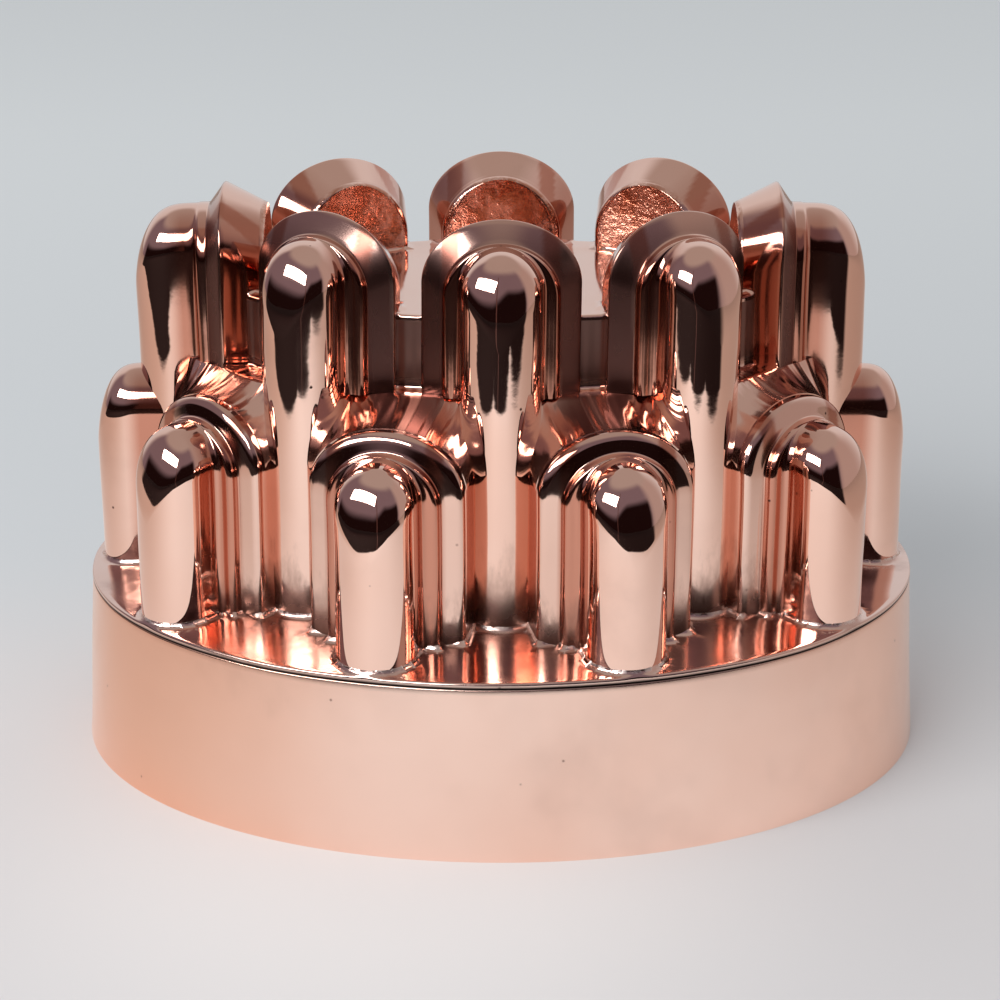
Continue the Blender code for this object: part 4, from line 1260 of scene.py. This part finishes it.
def make_tin():
    """Wiped tin over copper: grey, soft, with brush streaks and copper showing through."""
    material, tree = new_metal("tinned_inside")
    cloud = object_noise(tree, 60.0, 6.0, rough=0.65)
    streak = object_noise(tree, 240.0, 3.0, stretch=(1.0, 1.0, 0.15))
    colour = blend_colour(tree, cloud, rgba(TIN_DARK), rgba(TIN_LIGHT))
    worn = ramp(tree, object_noise(tree, 95.0, 5.0), 0.60, 0.70, 0.0, 0.6)
    colour = blend_colour(tree, worn, colour, rgba(TIN_WORN))
    finish_metal(tree, colour, ramp(tree, streak, 0.2, 0.8, 0.28, 0.5),
                 math_node(tree, "MULTIPLY", streak, STREAK_HEIGHT), strength=0.6)
    return material


tin = make_tin()
print("made", tin.name)


# %% Each piece gets its finish, rides on the body and stands for its node
SHARP_FROM = 35.0


def slot_of(node):
    """The record's slot for a node, from the start of its name."""
    for start, slot in (("skirt", "skirt_copper"), ("shoulder", "shoulder_copper"),
                        ("crown", "crown_plate_copper"), ("saddle", "saddle_copper"),
                        ("upper", "upper_turret_copper"), ("lower", "lower_turret_copper")):
        if node.startswith(start):
            return slot
    raise ValueError(node)


for node, piece in pieces.items():
    piece.data.shade_smooth()
    piece.data.set_sharp_from_angle(angle=math.radians(SHARP_FROM))
    piece.data.materials.clear()
    piece.data.materials.append(finishes[slot_of(node)])
    piece.data.materials.append(tin)
    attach(piece, "root")
    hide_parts(node)
print("dressed", len(pieces), "pieces")

# %% [markdown]
# ## The studio
#
# The mould stands on a pale floor under one large softbox, high on the left in front.
# The rest of the room is dark in front and pale behind, which is what the polished
# columns mirror: pale floor below, a dark tongue above it, and the white softbox.

# %% Directions in the room
# Azimuths are from the front, positive to the right; the stand's last number is its blur.
STAND = (-7.8, -6.4, 0.35)
ROOM_FRONT, ROOM_BACK, ROOM_TOP = (0.42, 0.35, 0.33), (0.66, 0.68, 0.70), (0.40, 0.36, 0.34)
HAZE, DARK, STAND_GREY = (0.19, 0.15, 0.18), (0.010, 0.004, 0.004), (0.10, 0.05, 0.045)
ROOM_SOFT, BACKDROP = (0.60, 0.60, 0.61), (0.587, 0.617, 0.64)


def direction_angles(tree, vector):
    """Azimuth from the front, positive to the right, and elevation, both in degrees."""
    parts = wire(tree, "SeparateXYZ", Vector=vector)
    x, y, z = (parts.outputs[axis] for axis in "XYZ")
    azimuth = math_node(tree, "ARCTAN2", x, math_node(tree, "MULTIPLY", y, -1.0))
    level = math_node(tree, "SQRT", math_node(tree, "ADD", math_node(tree, "MULTIPLY", x, x),
                                              math_node(tree, "MULTIPLY", y, y)))
    elevation = math_node(tree, "ARCTAN2", z, level)
    return [math_node(tree, "MULTIPLY", angle, 180 / math.pi) for angle in (azimuth, elevation)]


def window(tree, value, low, high, soft):
    """A smooth-edged band: 1 between low and high."""
    return math_node(tree, "MULTIPLY", ramp(tree, value, low - soft, low + soft),
                     ramp(tree, value, high + soft, high - soft))


def light_room(tree):
    """What the copper mirrors from the room, and the plain backdrop that is seen.

    The room is pale behind and warmer in front and above. Round the front lies a haze,
    and below it a dark part whose top climbs from left to right; the lamp's stand is a
    thin strip in the dark.
    """
    azimuth, elevation = direction_angles(tree, wire(tree, "TexCoord").outputs["Generated"])
    behind = ramp(tree, math_node(tree, "ABSOLUTE", azimuth), 95.0, 150.0)
    haze = math_node(tree, "MULTIPLY", window(tree, azimuth, -125.0, 60.0, 12.0),
                     ramp(tree, elevation, 62.0, 46.0))
    lid = ramp(tree, azimuth, -15.0, 15.0, 11.0, 24.0)
    dark = math_node(tree, "MULTIPLY", window(tree, azimuth, -104.0, 58.0, 5.0),
                     ramp(tree, math_node(tree, "SUBTRACT", elevation, lid), 5.0, -5.0))
    stand = math_node(tree, "MULTIPLY", window(tree, azimuth, *STAND),
                      ramp(tree, elevation, 47.0, 44.0))
    room = blend_colour(tree, behind, rgba(ROOM_FRONT), rgba(ROOM_BACK))
    for share, colour in ((ramp(tree, elevation, 40.0, 58.0), ROOM_TOP), (haze, HAZE),
                          (dark, DARK), (stand, STAND_GREY)):
        room = blend_colour(tree, share, room, rgba(colour))
    path = wire(tree, "LightPath")
    seen = blend_colour(tree, path.outputs["Is Glossy Ray"], rgba(ROOM_SOFT), room)
    seen = blend_colour(tree, path.outputs["Is Camera Ray"], seen, rgba(BACKDROP))
    tree.links.new(seen, tree.nodes["Background"].inputs["Color"])


world = bpy.data.worlds.new("studio")
bpy.context.scene.world = world
world.use_nodes = True
light_room(world.node_tree)
print("room lit")

# %% Floor
FLOOR_HALF = 3.0
FLOOR_NEAR, FLOOR_MIDDLE = (0.675, 0.665, 0.67), (0.705, 0.706, 0.715)
# Painted shade on the paper beside the mould, and the paper far off
FLOOR_SHADE_BESIDE, FLOOR_FAR = (0.65, 0.68, 0.70), (0.79, 0.827, 0.84)
FLOOR_GLOW, GLOW_PLACE = (0.80, 0.785, 0.78), (-0.02, -0.07)
MIRRORED_MIDDLE, MIRRORED_SIDE = (0.88, 0.90, 0.89), (0.53, 0.43, 0.37)
STAND_FOOT = (0.09, 0.05, 0.045)
# Where the mirrored floor ends: (a, b, c) is the line a * x + b * y = c, in metres
FLOOR_EDGES = ((0.0, -1.0, 0.298), (0.667, -0.745, 0.296), (-0.659, -0.753, 0.288))


def seen_floor(tree, x, y):
    """The paper as the camera sees it: deeper near by, painted shade beside the mould, painted
    light where the skirt shines on it.
    """
    colour = rgba(FLOOR_NEAR)
    for low, high, further in ((-0.09, 0.0, FLOOR_MIDDLE), (0.0, 0.10, FLOOR_SHADE_BESIDE),
                               (0.08, 0.62, FLOOR_FAR)):
        colour = blend_colour(tree, ramp(tree, y, low, high), colour, rgba(further))
    sides = [math_node(tree, "POWER", math_node(tree, "SUBTRACT", side, place), 2.0)
             for side, place in zip((x, y), GLOW_PLACE)]
    away = math_node(tree, "SQRT", math_node(tree, "ADD", *sides))
    return blend_colour(tree, ramp(tree, away, 0.10, 0.02), colour, rgba(FLOOR_GLOW))


def mirrored_floor(tree, x, y, azimuth):
    """The paper as the copper mirrors it: pale, warmer aside, and ended by the dark room."""
    edges = [math_node(tree, "MULTIPLY_ADD", x, a, math_node(tree, "MULTIPLY_ADD", y, b, -c))
             for a, b, c in FLOOR_EDGES]
    beyond = math_node(tree, "MAXIMUM", math_node(tree, "MAXIMUM", *edges[:2]), edges[2])
    dark = math_node(tree, "MULTIPLY", ramp(tree, beyond, -0.004, 0.008),
                     window(tree, azimuth, -104.0, 60.0, 4.0))
    shade = blend_colour(tree, window(tree, azimuth, *STAND), rgba(DARK), rgba(STAND_FOOT))
    aside = ramp(tree, math_node(tree, "ABSOLUTE", x), 0.04, 0.31)
    pale = blend_colour(tree, aside, rgba(MIRRORED_MIDDLE), rgba(MIRRORED_SIDE))
    return blend_colour(tree, dark, pale, shade)


def make_floor():
    """A plain pale floor; mirrored, it ends in front of the mould at a dark room."""
    mesh = bpy.data.meshes.new("floor")
    corners = [(-FLOOR_HALF, -FLOOR_HALF, 0), (FLOOR_HALF, -FLOOR_HALF, 0),
               (FLOOR_HALF, FLOOR_HALF, 0), (-FLOOR_HALF, FLOOR_HALF, 0)]
    mesh.from_pydata(corners, [], [(0, 1, 2, 3)])
    floor = bpy.data.objects.new("floor", mesh)
    bpy.context.scene.collection.objects.link(floor)
    material = bpy.data.materials.new("floor_paper")
    material.use_nodes = True
    tree = material.node_tree
    shader = tree.nodes["Principled BSDF"]
    shader.inputs["Roughness"].default_value = 0.9
    shader.inputs["Specular IOR Level"].default_value = 0.1
    parts = wire(tree, "SeparateXYZ", Vector=object_coords(tree))
    x, y = parts.outputs["X"], parts.outputs["Y"]
    azimuth, _ = direction_angles(tree, object_coords(tree))
    glossy = wire(tree, "LightPath").outputs["Is Glossy Ray"]
    colour = blend_colour(tree, glossy, seen_floor(tree, x, y), mirrored_floor(tree, x, y, azimuth))
    tree.links.new(colour, shader.inputs["Base Color"])
    mesh.materials.append(material)
    floor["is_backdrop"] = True
    return floor


floor = make_floor()
print("floor ready")

# %% Softbox and camera
SOFTBOX_SIZE, SOFTBOX_POWER, SOFTBOX_PLACE = (1.05, 0.32), 8.7, (-40.0, 33.0, 1.1)
SOFTBOX_AIM, CAMERA_AIM = Vector((0, 0, 0.08)), Vector((-0.0002, 0.0, 0.0466))
CAMERA_PLACE, FOCAL_LENGTH, SENSOR_WIDTH = (0.0, 20.0, 0.533), 95.76, 36.0


def add_looking(name, data, place, target):
    """An object at (azimuth, elevation, distance) from a target point that it looks at."""
    azimuth, elevation, distance = math.radians(place[0]), math.radians(place[1]), place[2]
    away = Vector((math.sin(azimuth) * math.cos(elevation),
                   -math.cos(azimuth) * math.cos(elevation), math.sin(elevation)))
    item = bpy.data.objects.new(name, data)
    bpy.context.scene.collection.objects.link(item)
    item.location = target + distance * away
    item.rotation_mode = "QUATERNION"
    item.rotation_quaternion = (target - item.location).to_track_quat("-Z", "Y")
    return item


softbox = bpy.data.lights.new("softbox", "AREA")
softbox.shape, softbox.energy = "RECTANGLE", SOFTBOX_POWER
softbox.size, softbox.size_y = SOFTBOX_SIZE
add_looking("softbox", softbox, SOFTBOX_PLACE, SOFTBOX_AIM)

lens = bpy.data.cameras.new("camera")
lens.lens, lens.sensor_width = FOCAL_LENGTH, SENSOR_WIDTH
bpy.context.scene.camera = add_looking("camera", lens, CAMERA_PLACE, CAMERA_AIM)
bpy.context.scene.view_settings.view_transform = "Standard"
print("camera", tuple(round(value, 3) for value in bpy.context.scene.camera.location))

# %% [markdown]
# ## Boxes
#
# Both boxes are kept, the solid model's and the fine surfaces', and the last line
# prints their sizes. The fine surfaces may not stand outside the solid model's box.

# %% Boxes and the end
visual_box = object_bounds()
for label, box in (("solid", cad_box), ("visual", visual_box)):
    print(label, [round((box[1][i] - box[0][i]) / MM, 2) for i in range(3)], "mm")
